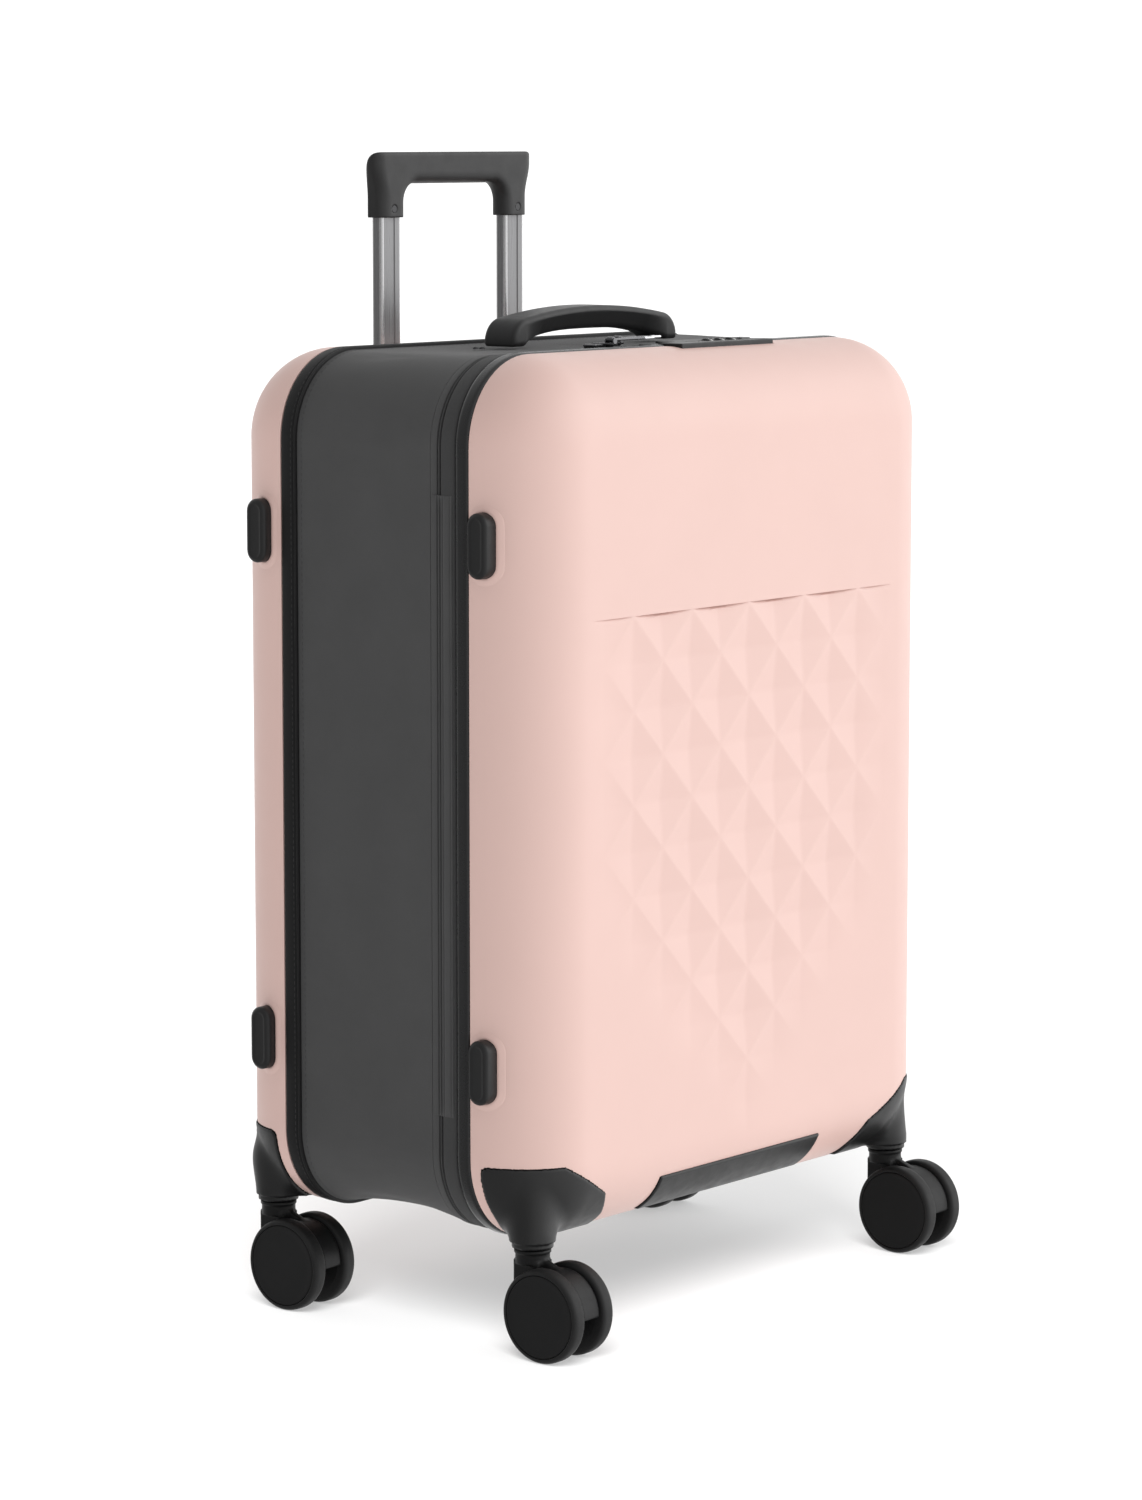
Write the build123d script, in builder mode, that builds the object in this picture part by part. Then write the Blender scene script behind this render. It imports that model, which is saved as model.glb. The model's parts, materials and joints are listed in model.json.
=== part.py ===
from build123d import *
import os

os.makedirs("parts", exist_ok=True)

# Hard shell suitcase on four twin-wheel casters, standing upright.
# X to the right along the front, the front faces -Y, Z up, floor at z = 0.

# ---------------------------------------------------------------- driving sizes (mm)
y_case = 13.9            # middle of the case depth, seen from the middle of the whole footprint
half_w = 228.0           # half of the case width at the shell rims
z_low, z_high = 70.8, 659.5
case_h = z_high - z_low
z_mid = (z_low + z_high) / 2
corner_r = 60.0          # outline corner of both shells
edge_r = 55.0            # rounded edge between the side wall and the face
shell_t = 2.6

front_face = y_case - 139.5
front_rim = y_case - 83.4
back_face = y_case + 139.5
rear_rim = y_case + 82.1
binding_front = y_case + 68.3    # rear binding, where the soft wall is sewn in
zip_y = y_case - 57.4            # parting line of the zip and axis of the lid
frame_rear = y_case - 49.4

wheel_r = 31.5
wheel_w = 11.45
wheel_gap = 18.3
tyre_in = 24.0
caster_trail = 21.7
stem_x, stem_y = 200.9, 114.1
collar_bottom = 72.3
collar_r = 15.5
neck_r = 12.0
axle_r, pin_r = 3.0, 4.0
run = 0.05               # radial running clearance

tube_x, tube_y = 67.0, y_case + 128.5
tube_w, tube_d, tube_t = 22.0, 10.0, 1.2
grip_low, grip_bar, grip_top = 744.6, 767.9, 790.1
grip_half, grip_d = 85.0, 16.0
bezel_floor = 623.0

foot_x, foot_y = 233.0, 98.0
foot_z = (191.6, 538.1)
foot_h, foot_w = 43.1, 17.0

hinge_z0, hinge_z1 = 157.0, 569.0
handle_y = y_case + 7.0
lock_x0, lock_x1 = -20.0, 84.0
dial_x = (31.0, 44.0, 57.0)


def facing(y):
    """A plane across the case at depth y, with its normal towards the front."""
    return Plane(origin=(0, y, z_mid), x_dir=(1, 0, 0), z_dir=(0, -1, 0))


def backing(y):
    """The same plane with its normal towards the back."""
    return Plane(origin=(0, y, z_mid), x_dir=(-1, 0, 0), z_dir=(0, 1, 0))


# ---------------------------------------------------------------- mould forms, used to cut other pieces
with BuildPart() as front_form:
    with BuildSketch(facing(front_rim)):
        RectangleRounded(2 * half_w, case_h, corner_r)
    extrude(amount=front_rim - front_face)
    fillet(front_form.faces().sort_by(Axis.Y)[0].edges(), edge_r)

with BuildPart() as front_core:
    with BuildSketch(facing(front_rim + 1)):
        RectangleRounded(2 * (half_w - shell_t), case_h - 2 * shell_t, corner_r - shell_t)
    extrude(amount=front_rim + 1 - front_face - shell_t)
    fillet(front_core.faces().sort_by(Axis.Y)[0].edges(), edge_r - shell_t)

with BuildPart() as rear_form:
    with BuildSketch(backing(rear_rim)):
        RectangleRounded(2 * half_w, case_h, corner_r)
    extrude(amount=back_face - rear_rim)
    fillet(rear_form.faces().sort_by(Axis.Y)[-1].edges(), edge_r)

with BuildPart() as rear_core:
    with BuildSketch(backing(rear_rim - 1)):
        RectangleRounded(2 * (half_w - shell_t), case_h - 2 * shell_t, corner_r - shell_t)
    extrude(amount=back_face - rear_rim + 1 - shell_t)
    fillet(rear_core.faces().sort_by(Axis.Y)[-1].edges(), edge_r - shell_t)

skin = 2.2               # the wheel housings stand this far off the shell
with BuildPart() as front_skin:
    with BuildSketch(facing(front_rim)):
        RectangleRounded(2 * (half_w + skin), case_h + 2 * skin, corner_r + skin)
    extrude(amount=front_rim - front_face + skin)
    fillet(front_skin.faces().sort_by(Axis.Y)[0].edges(), edge_r + skin)

with BuildPart() as rear_skin:
    with BuildSketch(backing(rear_rim)):
        RectangleRounded(2 * (half_w + skin), case_h + 2 * skin, corner_r + skin)
    extrude(amount=back_face - rear_rim + skin)
    fillet(rear_skin.faces().sort_by(Axis.Y)[-1].edges(), edge_r + skin)

pad = 2.6                # the kick plate is a thicker pad on the same form
with BuildPart() as front_pad:
    with BuildSketch(facing(front_rim)):
        RectangleRounded(2 * (half_w + pad), case_h + 2 * pad, corner_r + pad)
    extrude(amount=front_rim - front_face + pad)
    fillet(front_pad.faces().sort_by(Axis.Y)[0].edges(), edge_r + pad)

# ---------------------------------------------------------------- shells
with BuildPart() as front_shell:
    add(front_form.part)
    add(front_core.part, mode=Mode.SUBTRACT)
    # slots for the two side feet
    with BuildSketch(Plane(origin=(-half_w - 10, 0, 0), x_dir=(0, 1, 0), z_dir=(1, 0, 0))):
        with Locations(*[(y_case - foot_y, z) for z in foot_z]):
            SlotOverall(foot_h + 0.2, foot_w + 0.2, rotation=90)
    extrude(amount=25, mode=Mode.SUBTRACT)
    # seat of the lock in the top edge
    with Locations(((lock_x0 + lock_x1) / 2, front_rim - 6, z_high)):
        Box(lock_x1 - lock_x0 + 1, 14.0, 24, mode=Mode.SUBTRACT)
front_shell.part.label = "front_shell"
export_step(front_shell.part, "parts/front_shell.step")

with BuildPart() as rear_shell:
    add(rear_form.part)
    add(rear_core.part, mode=Mode.SUBTRACT)
    with BuildSketch(Plane(origin=(-half_w - 10, 0, 0), x_dir=(0, 1, 0), z_dir=(1, 0, 0))):
        with Locations(*[(y_case + foot_y, z) for z in foot_z]):
            SlotOverall(foot_h + 0.2, foot_w + 0.2, rotation=90)
    extrude(amount=25, mode=Mode.SUBTRACT)
    # seat of the pull handle in the top of the back
    with BuildSketch(Plane.XY.offset(bezel_floor - 4)):
        with Locations((0, y_case + 136)):
            Rectangle(190, 40)
    extrude(amount=60, mode=Mode.SUBTRACT)
rear_shell.part.label = "rear_shell"
export_step(rear_shell.part, "parts/rear_shell.step")

# ---------------------------------------------------------------- soft wall and the rings it is sewn to
with BuildPart() as rear_binding:
    with BuildSketch(facing(rear_rim - 0.05)):
        RectangleRounded(2 * (half_w + 0.8), case_h + 1.6, corner_r + 0.8)
        RectangleRounded(2 * (half_w - 7), case_h - 14, corner_r - 7, mode=Mode.SUBTRACT)
    extrude(amount=rear_rim - 0.05 - binding_front)
    fillet(rear_binding.faces().sort_by(Axis.Y)[0].outer_wire().edges(), 3.0)
    fillet(rear_binding.faces().sort_by(Axis.Y)[-1].outer_wire().edges(), 2.0)
rear_binding.part.label = "rear_binding"
export_step(rear_binding.part, "parts/rear_binding.step")

with BuildPart() as gusset:
    with BuildSketch(facing(binding_front - 0.1)):
        RectangleRounded(2 * (half_w - 1.5), case_h - 3, corner_r - 1.5)
        RectangleRounded(2 * (half_w - 3.5), case_h - 7, corner_r - 3.5, mode=Mode.SUBTRACT)
    extrude(amount=binding_front - 0.1 - frame_rear - 0.3)
gusset.part.label = "gusset"
export_step(gusset.part, "parts/gusset.step")

with BuildPart() as zip_frame:
    with BuildSketch(facing(frame_rear)):
        RectangleRounded(2 * (half_w - 0.6), case_h - 1.2, corner_r - 0.6)
        RectangleRounded(2 * (half_w - 7.5), case_h - 15, corner_r - 7.5, mode=Mode.SUBTRACT)
    extrude(amount=frame_rear - zip_y - 0.2)
zip_frame.part.label = "zip_frame"
export_step(zip_frame.part, "parts/zip_frame.step")

with BuildPart() as zip_flap:
    with BuildSketch(facing(zip_y - 0.2)):
        RectangleRounded(2 * (half_w - 0.8), case_h - 1.6, corner_r - 0.8)
        RectangleRounded(2 * (half_w - 3.2), case_h - 6.4, corner_r - 3.2, mode=Mode.SUBTRACT)
    extrude(amount=13.3)
    with Locations(((lock_x0 + lock_x1) / 2, zip_y - 6, z_high)):
        Box(lock_x1 - lock_x0 + 1, 20, 24, mode=Mode.SUBTRACT)
zip_flap.part.label = "zip_flap"
export_step(zip_flap.part, "parts/zip_flap.step")

with BuildPart() as front_band:
    with BuildSketch(facing(zip_y - 13.6)):
        RectangleRounded(2 * (half_w + 1.0), case_h + 2, corner_r + 1)
        RectangleRounded(2 * (half_w - 7), case_h - 14, corner_r - 7, mode=Mode.SUBTRACT)
    extrude(amount=zip_y - 13.6 - front_rim - 0.05)
    fillet(front_band.faces().sort_by(Axis.Y)[0].outer_wire().edges(), 2.0)
    fillet(front_band.faces().sort_by(Axis.Y)[-1].outer_wire().edges(), 4.0)
    with Locations(((lock_x0 + lock_x1) / 2, zip_y - 20, z_high)):
        Box(lock_x1 - lock_x0 + 1, 30, 24, mode=Mode.SUBTRACT)
front_band.part.label = "front_band"
export_step(front_band.part, "parts/front_band.step")

# sewn strip that the lid swings on, down the left side between the ends of the zip
with BuildPart() as hinge_strip:
    with BuildSketch(Plane(origin=(-half_w - 0.6, 0, 0), x_dir=(0, 1, 0), z_dir=(1, 0, 0))):
        with Locations((zip_y - 1.0, (hinge_z0 + hinge_z1) / 2)):
            RectangleRounded(17.0, hinge_z1 - hinge_z0, 2.0)
    extrude(amount=1.0)
hinge_strip.part.label = "hinge_strip"
export_step(hinge_strip.part, "parts/hinge_strip.step")

# ---------------------------------------------------------------- linings
with BuildPart() as rear_lining:
    with BuildSketch(Plane(origin=(0, y_case + 117.0, (92 + 612) / 2), x_dir=(-1, 0, 0), z_dir=(0, 1, 0))):
        RectangleRounded(2 * 208, 612 - 92, 40)
    extrude(amount=1.5)
rear_lining.part.label = "rear_lining"
export_step(rear_lining.part, "parts/rear_lining.step")

with BuildPart() as lid_lining:
    with BuildSketch(Plane(origin=(0, y_case - 134.4, (120 + 610) / 2), x_dir=(1, 0, 0), z_dir=(0, -1, 0))):
        RectangleRounded(2 * 180, 610 - 120, 16)
    extrude(amount=1.4)
lid_lining.part.label = "lid_lining"
export_step(lid_lining.part, "parts/lid_lining.step")

# ---------------------------------------------------------------- side feet: plugs with an inner flange
with BuildPart() as front_side_feet:
    with BuildSketch(Plane(origin=(-foot_x, 0, 0), x_dir=(0, 1, 0), z_dir=(1, 0, 0))):
        with Locations(*[(y_case - foot_y, z) for z in foot_z]):
            SlotOverall(foot_h, foot_w, rotation=90)
    extrude(amount=15.2)
    chamfer(front_side_feet.faces().filter_by(Axis.X).sort_by(Axis.X)[:2].edges(), 1.6)
    with BuildSketch(Plane(origin=(-foot_x + 15, 0, 0), x_dir=(0, 1, 0), z_dir=(1, 0, 0))):
        with Locations(*[(y_case - foot_y, z) for z in foot_z]):
            SlotOverall(foot_h + 7, foot_w + 5, rotation=90)
    extrude(amount=2)
front_side_feet.part.label = "front_side_feet"
export_step(front_side_feet.part, "parts/front_side_feet.step")

with BuildPart() as rear_side_feet:
    with BuildSketch(Plane(origin=(-foot_x, 0, 0), x_dir=(0, 1, 0), z_dir=(1, 0, 0))):
        with Locations(*[(y_case + foot_y, z) for z in foot_z]):
            SlotOverall(foot_h, foot_w, rotation=90)
    extrude(amount=15.2)
    chamfer(rear_side_feet.faces().filter_by(Axis.X).sort_by(Axis.X)[:2].edges(), 1.6)
    with BuildSketch(Plane(origin=(-foot_x + 15, 0, 0), x_dir=(0, 1, 0), z_dir=(1, 0, 0))):
        with Locations(*[(y_case + foot_y, z) for z in foot_z]):
            SlotOverall(foot_h + 7, foot_w + 5, rotation=90)
    extrude(amount=2)
rear_side_feet.part.label = "rear_side_feet"
export_step(rear_side_feet.part, "parts/rear_side_feet.step")

# ---------------------------------------------------------------- wheel housings on the four lower corners
# outline of the cap seen from the front, on the left half
wing = [(-245, 126), (-192, 126), (-148, 100), (-139, 80), (-139, 58), (-245, 58)]

with BuildPart() as front_left_housing:
    add(front_skin.part)
    with BuildSketch(Plane(origin=(0, y_case - 91, 0), x_dir=(1, 0, 0), z_dir=(0, -1, 0))):
        with BuildLine():
            Polyline(*wing, close=True)
        make_face()
    extrude(amount=80, mode=Mode.INTERSECT)
    # collar of the swivel, and the flare above it
    with Locations((-stem_x, y_case - stem_y, collar_bottom)):
        Cylinder(collar_r, 32, align=(Align.CENTER, Align.CENTER, Align.MIN))
    with Locations((-stem_x, y_case - stem_y, collar_bottom + 5)):
        Cone(collar_r, 26, 12, align=(Align.CENTER, Align.CENTER, Align.MIN))
    add(front_form.part, mode=Mode.SUBTRACT)
    with BuildSketch(Plane(origin=(0, y_case - 91, 0), x_dir=(1, 0, 0), z_dir=(0, -1, 0))):
        with Locations((-stem_x, 100)):
            Rectangle(130, 70)
    extrude(amount=80, mode=Mode.INTERSECT)
    with Locations((-stem_x, y_case - stem_y, collar_bottom)):
        Cylinder(pin_r + run, 12.0, align=(Align.CENTER, Align.CENTER, Align.MIN), mode=Mode.SUBTRACT)
front_left_housing.part.label = "front_left_housing"
export_step(front_left_housing.part, "parts/front_left_housing.step")

with BuildPart() as front_right_housing:
    mirror(front_left_housing.part, about=Plane.YZ)
front_right_housing.part.label = "front_right_housing"
export_step(front_right_housing.part, "parts/front_right_housing.step")

with BuildPart() as rear_left_housing:
    add(rear_skin.part)
    with BuildSketch(Plane(origin=(0, y_case + 91, 0), x_dir=(1, 0, 0), z_dir=(0, -1, 0))):
        with BuildLine():
            Polyline(*wing, close=True)
        make_face()
    extrude(amount=-80, mode=Mode.INTERSECT)
    with Locations((-stem_x, y_case + stem_y, collar_bottom)):
        Cylinder(collar_r, 32, align=(Align.CENTER, Align.CENTER, Align.MIN))
    with Locations((-stem_x, y_case + stem_y, collar_bottom + 5)):
        Cone(collar_r, 26, 12, align=(Align.CENTER, Align.CENTER, Align.MIN))
    add(rear_form.part, mode=Mode.SUBTRACT)
    with BuildSketch(Plane(origin=(0, y_case + 91, 0), x_dir=(1, 0, 0), z_dir=(0, -1, 0))):
        with Locations((-stem_x, 100)):
            Rectangle(130, 70)
    extrude(amount=-80, mode=Mode.INTERSECT)
    with Locations((-stem_x, y_case + stem_y, collar_bottom)):
        Cylinder(pin_r + run, 12.0, align=(Align.CENTER, Align.CENTER, Align.MIN), mode=Mode.SUBTRACT)
rear_left_housing.part.label = "rear_left_housing"
export_step(rear_left_housing.part, "parts/rear_left_housing.step")

with BuildPart() as rear_right_housing:
    mirror(rear_left_housing.part, about=Plane.YZ)
rear_right_housing.part.label = "rear_right_housing"
export_step(rear_right_housing.part, "parts/rear_right_housing.step")

# kick plate along the lower front edge
with BuildPart() as kick_plate:
    add(front_pad.part)
    with BuildSketch(Plane(origin=(0, y_case - 112, 0), x_dir=(1, 0, 0), z_dir=(0, -1, 0))):
        with Locations((0, 82)):
            Rectangle(180, 42)
    extrude(amount=60, mode=Mode.INTERSECT)
    add(front_form.part, mode=Mode.SUBTRACT)
kick_plate.part.label = "kick_plate"
export_step(kick_plate.part, "parts/kick_plate.step")

# ---------------------------------------------------------------- casters
casters = {
    "front_left": (-stem_x, y_case - stem_y),
    "front_right": (stem_x, y_case - stem_y),
    "rear_left": (-stem_x, y_case + stem_y),
    "rear_right": (stem_x, y_case + stem_y),
}
fork_w = wheel_gap - 1.0
for where, (cx, cy) in casters.items():
    ay = cy - caster_trail          # the axle trails towards the front

    with BuildPart() as fork:
        with BuildSketch(Plane(origin=(cx - fork_w / 2, 0, 0), x_dir=(0, 1, 0), z_dir=(1, 0, 0))):
            with BuildLine():
                Line((ay - 28.5, wheel_r - 5), (ay - 28.5, wheel_r))
                ThreePointArc((ay - 28.5, wheel_r), (ay - 20.15, wheel_r + 20.15), (ay, wheel_r + 28.5))
                Line((ay, wheel_r + 28.5), (cy - 9, wheel_r + 32))
                Line((cy - 9, wheel_r + 32), (cy + 11, wheel_r + 32))
                Line((cy + 11, wheel_r + 32), (cy + 9, wheel_r + 8))
                Line((cy + 9, wheel_r + 8), (ay + 9, wheel_r - 9))
                Line((ay + 9, wheel_r - 9), (ay - 9, wheel_r - 9))
                Line((ay - 9, wheel_r - 9), (ay - 28.5, wheel_r - 5))
            make_face()
        extrude(amount=fork_w)
        # round neck under the collar
        with Locations((cx, cy, wheel_r + 30)):
            Cylinder(neck_r, collar_bottom - 0.6 - wheel_r - 30, align=(Align.CENTER, Align.CENTER, Align.MIN))
        with Locations((cx, cy, wheel_r + 12)):
            Cylinder(pin_r + 0.02, 40, align=(Align.CENTER, Align.CENTER, Align.MIN), mode=Mode.SUBTRACT)
        with Locations(Location((cx, ay, wheel_r), (0, 90, 0))):
            Cylinder(axle_r + 0.02, 30, mode=Mode.SUBTRACT)
    fork.part.label = where + "_fork"
    export_step(fork.part, "parts/" + where + "_fork.step")

    # swivel pin and wheel axle, both fast in the fork
    with BuildPart() as pins:
        with Locations((cx, cy, wheel_r + 12.2)):
            Cylinder(pin_r, collar_bottom + 11.2 - wheel_r - 12.2, align=(Align.CENTER, Align.CENTER, Align.MIN))
        with Locations(Location((cx, ay, wheel_r), (0, 90, 0))):
            Cylinder(axle_r, wheel_gap + 2 * wheel_w - 5)
    pins.part.label = where + "_pins"
    export_step(pins.part, "parts/" + where + "_pins.step")

    for side, sx in (("l", -1), ("r", 1)):
        inner = cx + sx * wheel_gap / 2
        with BuildPart() as hub:
            with BuildSketch(Plane(origin=(inner, ay, wheel_r), x_dir=(0, 1, 0), z_dir=(sx, 0, 0))):
                Circle(tyre_in - 0.03)
            extrude(amount=wheel_w - 0.9)
            # dished outer face with a raised middle
            with BuildSketch(Plane(origin=(inner + sx * (wheel_w - 1.9), ay, wheel_r), x_dir=(0, 1, 0), z_dir=(sx, 0, 0))):
                Circle(tyre_in - 4)
                Circle(9, mode=Mode.SUBTRACT)
            extrude(amount=3, mode=Mode.SUBTRACT)
            with Locations(Location((inner, ay, wheel_r), (0, 90 * sx, 0))):
                Cylinder(axle_r + run, wheel_w - 2.4, align=(Align.CENTER, Align.CENTER, Align.MIN), mode=Mode.SUBTRACT)
        hub.part.label = where + "_hub_" + side
        export_step(hub.part, "parts/" + where + "_hub_" + side + ".step")

        with BuildPart() as tyre:
            with BuildSketch(Plane(origin=(inner, ay, wheel_r), x_dir=(0, 1, 0), z_dir=(sx, 0, 0))):
                Circle(wheel_r)
                Circle(tyre_in, mode=Mode.SUBTRACT)
            extrude(amount=wheel_w)
            fillet(tyre.edges().filter_by(GeomType.CIRCLE).group_by(SortBy.RADIUS)[-1], 2.2)
        tyre.part.label = where + "_tyre_" + side
        export_step(tyre.part, "parts/" + where + "_tyre_" + side + ".step")

# ---------------------------------------------------------------- carry handles on the soft wall
gusset_top = z_high - 1.5
handle_base = z_high - 0.3    # the handle stands clear of the zip frame that slides past it
with BuildPart() as carry_handle:
    with BuildSketch(Plane(origin=(0, handle_y + 14.2, 0), x_dir=(1, 0, 0), z_dir=(0, -1, 0))):
        with BuildLine():
            Line((-90, handle_base), (-89, gusset_top + 9))
            Spline((-89, gusset_top + 9), (-78, gusset_top + 16), (0, gusset_top + 27), (78, gusset_top + 16), (89, gusset_top + 9))
            Line((89, gusset_top + 9), (90, handle_base))
            Line((90, handle_base), (58, handle_base))
            Spline((58, handle_base), (44, gusset_top + 8), (0, gusset_top + 13.5), (-44, gusset_top + 8), (-58, handle_base))
            Line((-58, handle_base), (-90, handle_base))
        make_face()
    extrude(amount=28.4)
carry_handle.part.label = "carry_handle"
export_step(carry_handle.part, "parts/carry_handle.step")

gusset_side = half_w - 1.5
with BuildPart() as side_handle:
    with BuildSketch(Plane(origin=(0, handle_y + 13, z_mid), x_dir=(1, 0, 0), z_dir=(0, -1, 0))):
        with BuildLine():
            Line((gusset_side + 0.3, -96), (gusset_side + 5, -95))
            Spline((gusset_side + 5, -95), (gusset_side + 9, -84), (gusset_side + 14, 0), (gusset_side + 9, 84), (gusset_side + 5, 95))
            Line((gusset_side + 5, 95), (gusset_side + 0.3, 96))
            Line((gusset_side + 0.3, 96), (gusset_side + 0.3, 66))
            Spline((gusset_side + 0.3, 66), (gusset_side + 4, 50), (gusset_side + 7.5, 0), (gusset_side + 4, -50), (gusset_side + 0.3, -66))
            Line((gusset_side + 0.3, -66), (gusset_side + 0.3, -96))
        make_face()
    extrude(amount=26)
side_handle.part.label = "side_handle"
export_step(side_handle.part, "parts/side_handle.step")

# ---------------------------------------------------------------- lock in the top edge of the lid
lock_top = z_high + 2.0
with BuildPart() as lock_body:
    with Locations(((lock_x0 + lock_x1) / 2, zip_y - 0.9, z_high - 10.5)):
        Box(lock_x1 - lock_x0 - 0.6, 37.9, lock_top - z_high + 10.5, align=(Align.CENTER, Align.MAX, Align.MIN))
    # low step that the zip pulls lie over
    with Locations((lock_x0 + 9, zip_y - 0.9, z_high + 0.6)):
        Box(20, 34, 10, align=(Align.CENTER, Align.CENTER, Align.MIN), mode=Mode.SUBTRACT)
    with Locations(*[(x, zip_y - 22, z_high - 4.6) for x in dial_x]):
        Box(7.4, 15.0, 30, mode=Mode.SUBTRACT)
    # spindle of the dials
    with Locations(Location(((dial_x[0] + dial_x[2]) / 2, zip_y - 22, z_high - 3.2), (0, 90, 0))):
        Cylinder(1.6, 36)
    with Locations((71.5, zip_y - 20, z_high - 4)):
        Box(11.0, 9.0, 20, align=(Align.CENTER, Align.CENTER, Align.MIN), mode=Mode.SUBTRACT)
lock_body.part.label = "lock_body"
export_step(lock_body.part, "parts/lock_body.step")

for i, x in enumerate(dial_x):
    with BuildPart() as dial:
        with Locations(Location((x, zip_y - 22, z_high - 3.2), (0, 90, 0))):
            Cylinder(6.9, 6.6)
            Cylinder(1.6 + run, 20, mode=Mode.SUBTRACT)
    dial.part.label = "lock_dial_" + str(i + 1)
    export_step(dial.part, "parts/lock_dial_" + str(i + 1) + ".step")

with BuildPart() as lock_button:
    with Locations((71.5, zip_y - 20, z_high - 1.2)):
        Box(10.4, 8.4, lock_top + 1.2 - z_high + 1.2, align=(Align.CENTER, Align.CENTER, Align.MIN))
    fillet(lock_button.faces().sort_by(Axis.Z)[-1].edges(), 0.8)
lock_button.part.label = "lock_button"
export_step(lock_button.part, "parts/lock_button.step")

# ---------------------------------------------------------------- two zip sliders and their pulls
slider_x = (-66.0, -50.0)
pull_y = (zip_y - 11.0, zip_y - 4.2)
pull_z = z_high + 5.4
with BuildPart() as zip_sliders:
    for x, py in zip(slider_x, pull_y):
        with Locations((x, zip_y, z_high + 0.5)):
            Box(12, 11, 1.8, align=(Align.CENTER, Align.CENTER, Align.MIN))
        with Locations((x, zip_y + 0.4, z_high - 0.6)):
            Box(12, 5, 1.4, align=(Align.CENTER, Align.MIN, Align.MIN))
        # bail across the top, which the pull hangs on
        with Locations((x + 4, (zip_y + 4 + py - 3.6) / 2, z_high + 2.2)):
            Box(4.4, zip_y + 4 - py + 3.6, 1.0, align=(Align.CENTER, Align.CENTER, Align.MIN))
        for ey in (py - 3.4, py + 3.4):
            with Locations((x + 4, ey, z_high + 2.2)):
                Box(4.4, 0.9, 4.2, align=(Align.CENTER, Align.CENTER, Align.MIN))
        with Locations(Location((x + 4, py, pull_z), (90, 0, 0))):
            Cylinder(0.9, 6.8)
zip_sliders.part.label = "zip_sliders"
export_step(zip_sliders.part, "parts/zip_sliders.step")

for name, x, py in (("zip_pull_1", slider_x[0] + 4, pull_y[0]), ("zip_pull_2", slider_x[1] + 4, pull_y[1])):
    with BuildPart() as pull:
        with BuildSketch(Plane.XY.offset(pull_z - 0.9)):
            with Locations((x + 21.2, py)):
                SlotOverall(46, 5.6)
        extrude(amount=1.8)
        with Locations(Location((x, py, pull_z), (90, 0, 0))):
            Cylinder(2.0, 5.6)
            Cylinder(0.9 + run, 20, mode=Mode.SUBTRACT)
    pull.part.label = name
    export_step(pull.part, "parts/" + name + ".step")

# ---------------------------------------------------------------- pull handle
with BuildPart() as trolley_outer_tubes:
    with BuildSketch(Plane.XY.offset(120)):
        with Locations((-tube_x, tube_y), (tube_x, tube_y)):
            SlotOverall(tube_w + 3.2, tube_d + 3.2)
            SlotOverall(tube_w + 0.8, tube_d + 0.8, mode=Mode.SUBTRACT)
    extrude(amount=bezel_floor - 10 - 120)
trolley_outer_tubes.part.label = "trolley_outer_tubes"
export_step(trolley_outer_tubes.part, "parts/trolley_outer_tubes.step")

with BuildPart() as trolley_foot_brackets:
    with BuildSketch(Plane.XY.offset(126)):
        with Locations((-tube_x, tube_y), (tube_x, tube_y)):
            RectangleRounded(36, 16.0, 3)
            SlotOverall(tube_w + 3.3, tube_d + 3.3, mode=Mode.SUBTRACT)
    extrude(amount=18)
trolley_foot_brackets.part.label = "trolley_foot_brackets"
export_step(trolley_foot_brackets.part, "parts/trolley_foot_brackets.step")

with BuildPart() as trolley_bezel:
    add(rear_form.part)
    with BuildSketch(Plane.XY.offset(bezel_floor - 3.8)):
        with Locations((0, y_case + 136.3)):
            Rectangle(189.4, 40)
    extrude(amount=60, mode=Mode.INTERSECT)
    with BuildSketch(Plane.XY.offset(bezel_floor)):
        with Locations((0, y_case + 139)):
            Rectangle(183, 40)
    extrude(amount=60, mode=Mode.SUBTRACT)
    with BuildSketch(Plane.XY.offset(bezel_floor - 10)):
        with Locations((-tube_x, tube_y), (tube_x, tube_y)):
            SlotOverall(tube_w + 0.7, tube_d + 0.7)
    extrude(amount=20, mode=Mode.SUBTRACT)
trolley_bezel.part.label = "trolley_bezel"
export_step(trolley_bezel.part, "parts/trolley_bezel.step")

with BuildPart() as trolley_inner_tubes:
    with BuildSketch(Plane.XY.offset(236)):
        with Locations((-tube_x, tube_y), (tube_x, tube_y)):
            SlotOverall(tube_w, tube_d)
            SlotOverall(tube_w - 2 * tube_t, tube_d - 2 * tube_t, mode=Mode.SUBTRACT)
    extrude(amount=grip_bar - 2 - 236)
trolley_inner_tubes.part.label = "trolley_inner_tubes"
export_step(trolley_inner_tubes.part, "parts/trolley_inner_tubes.step")

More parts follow.
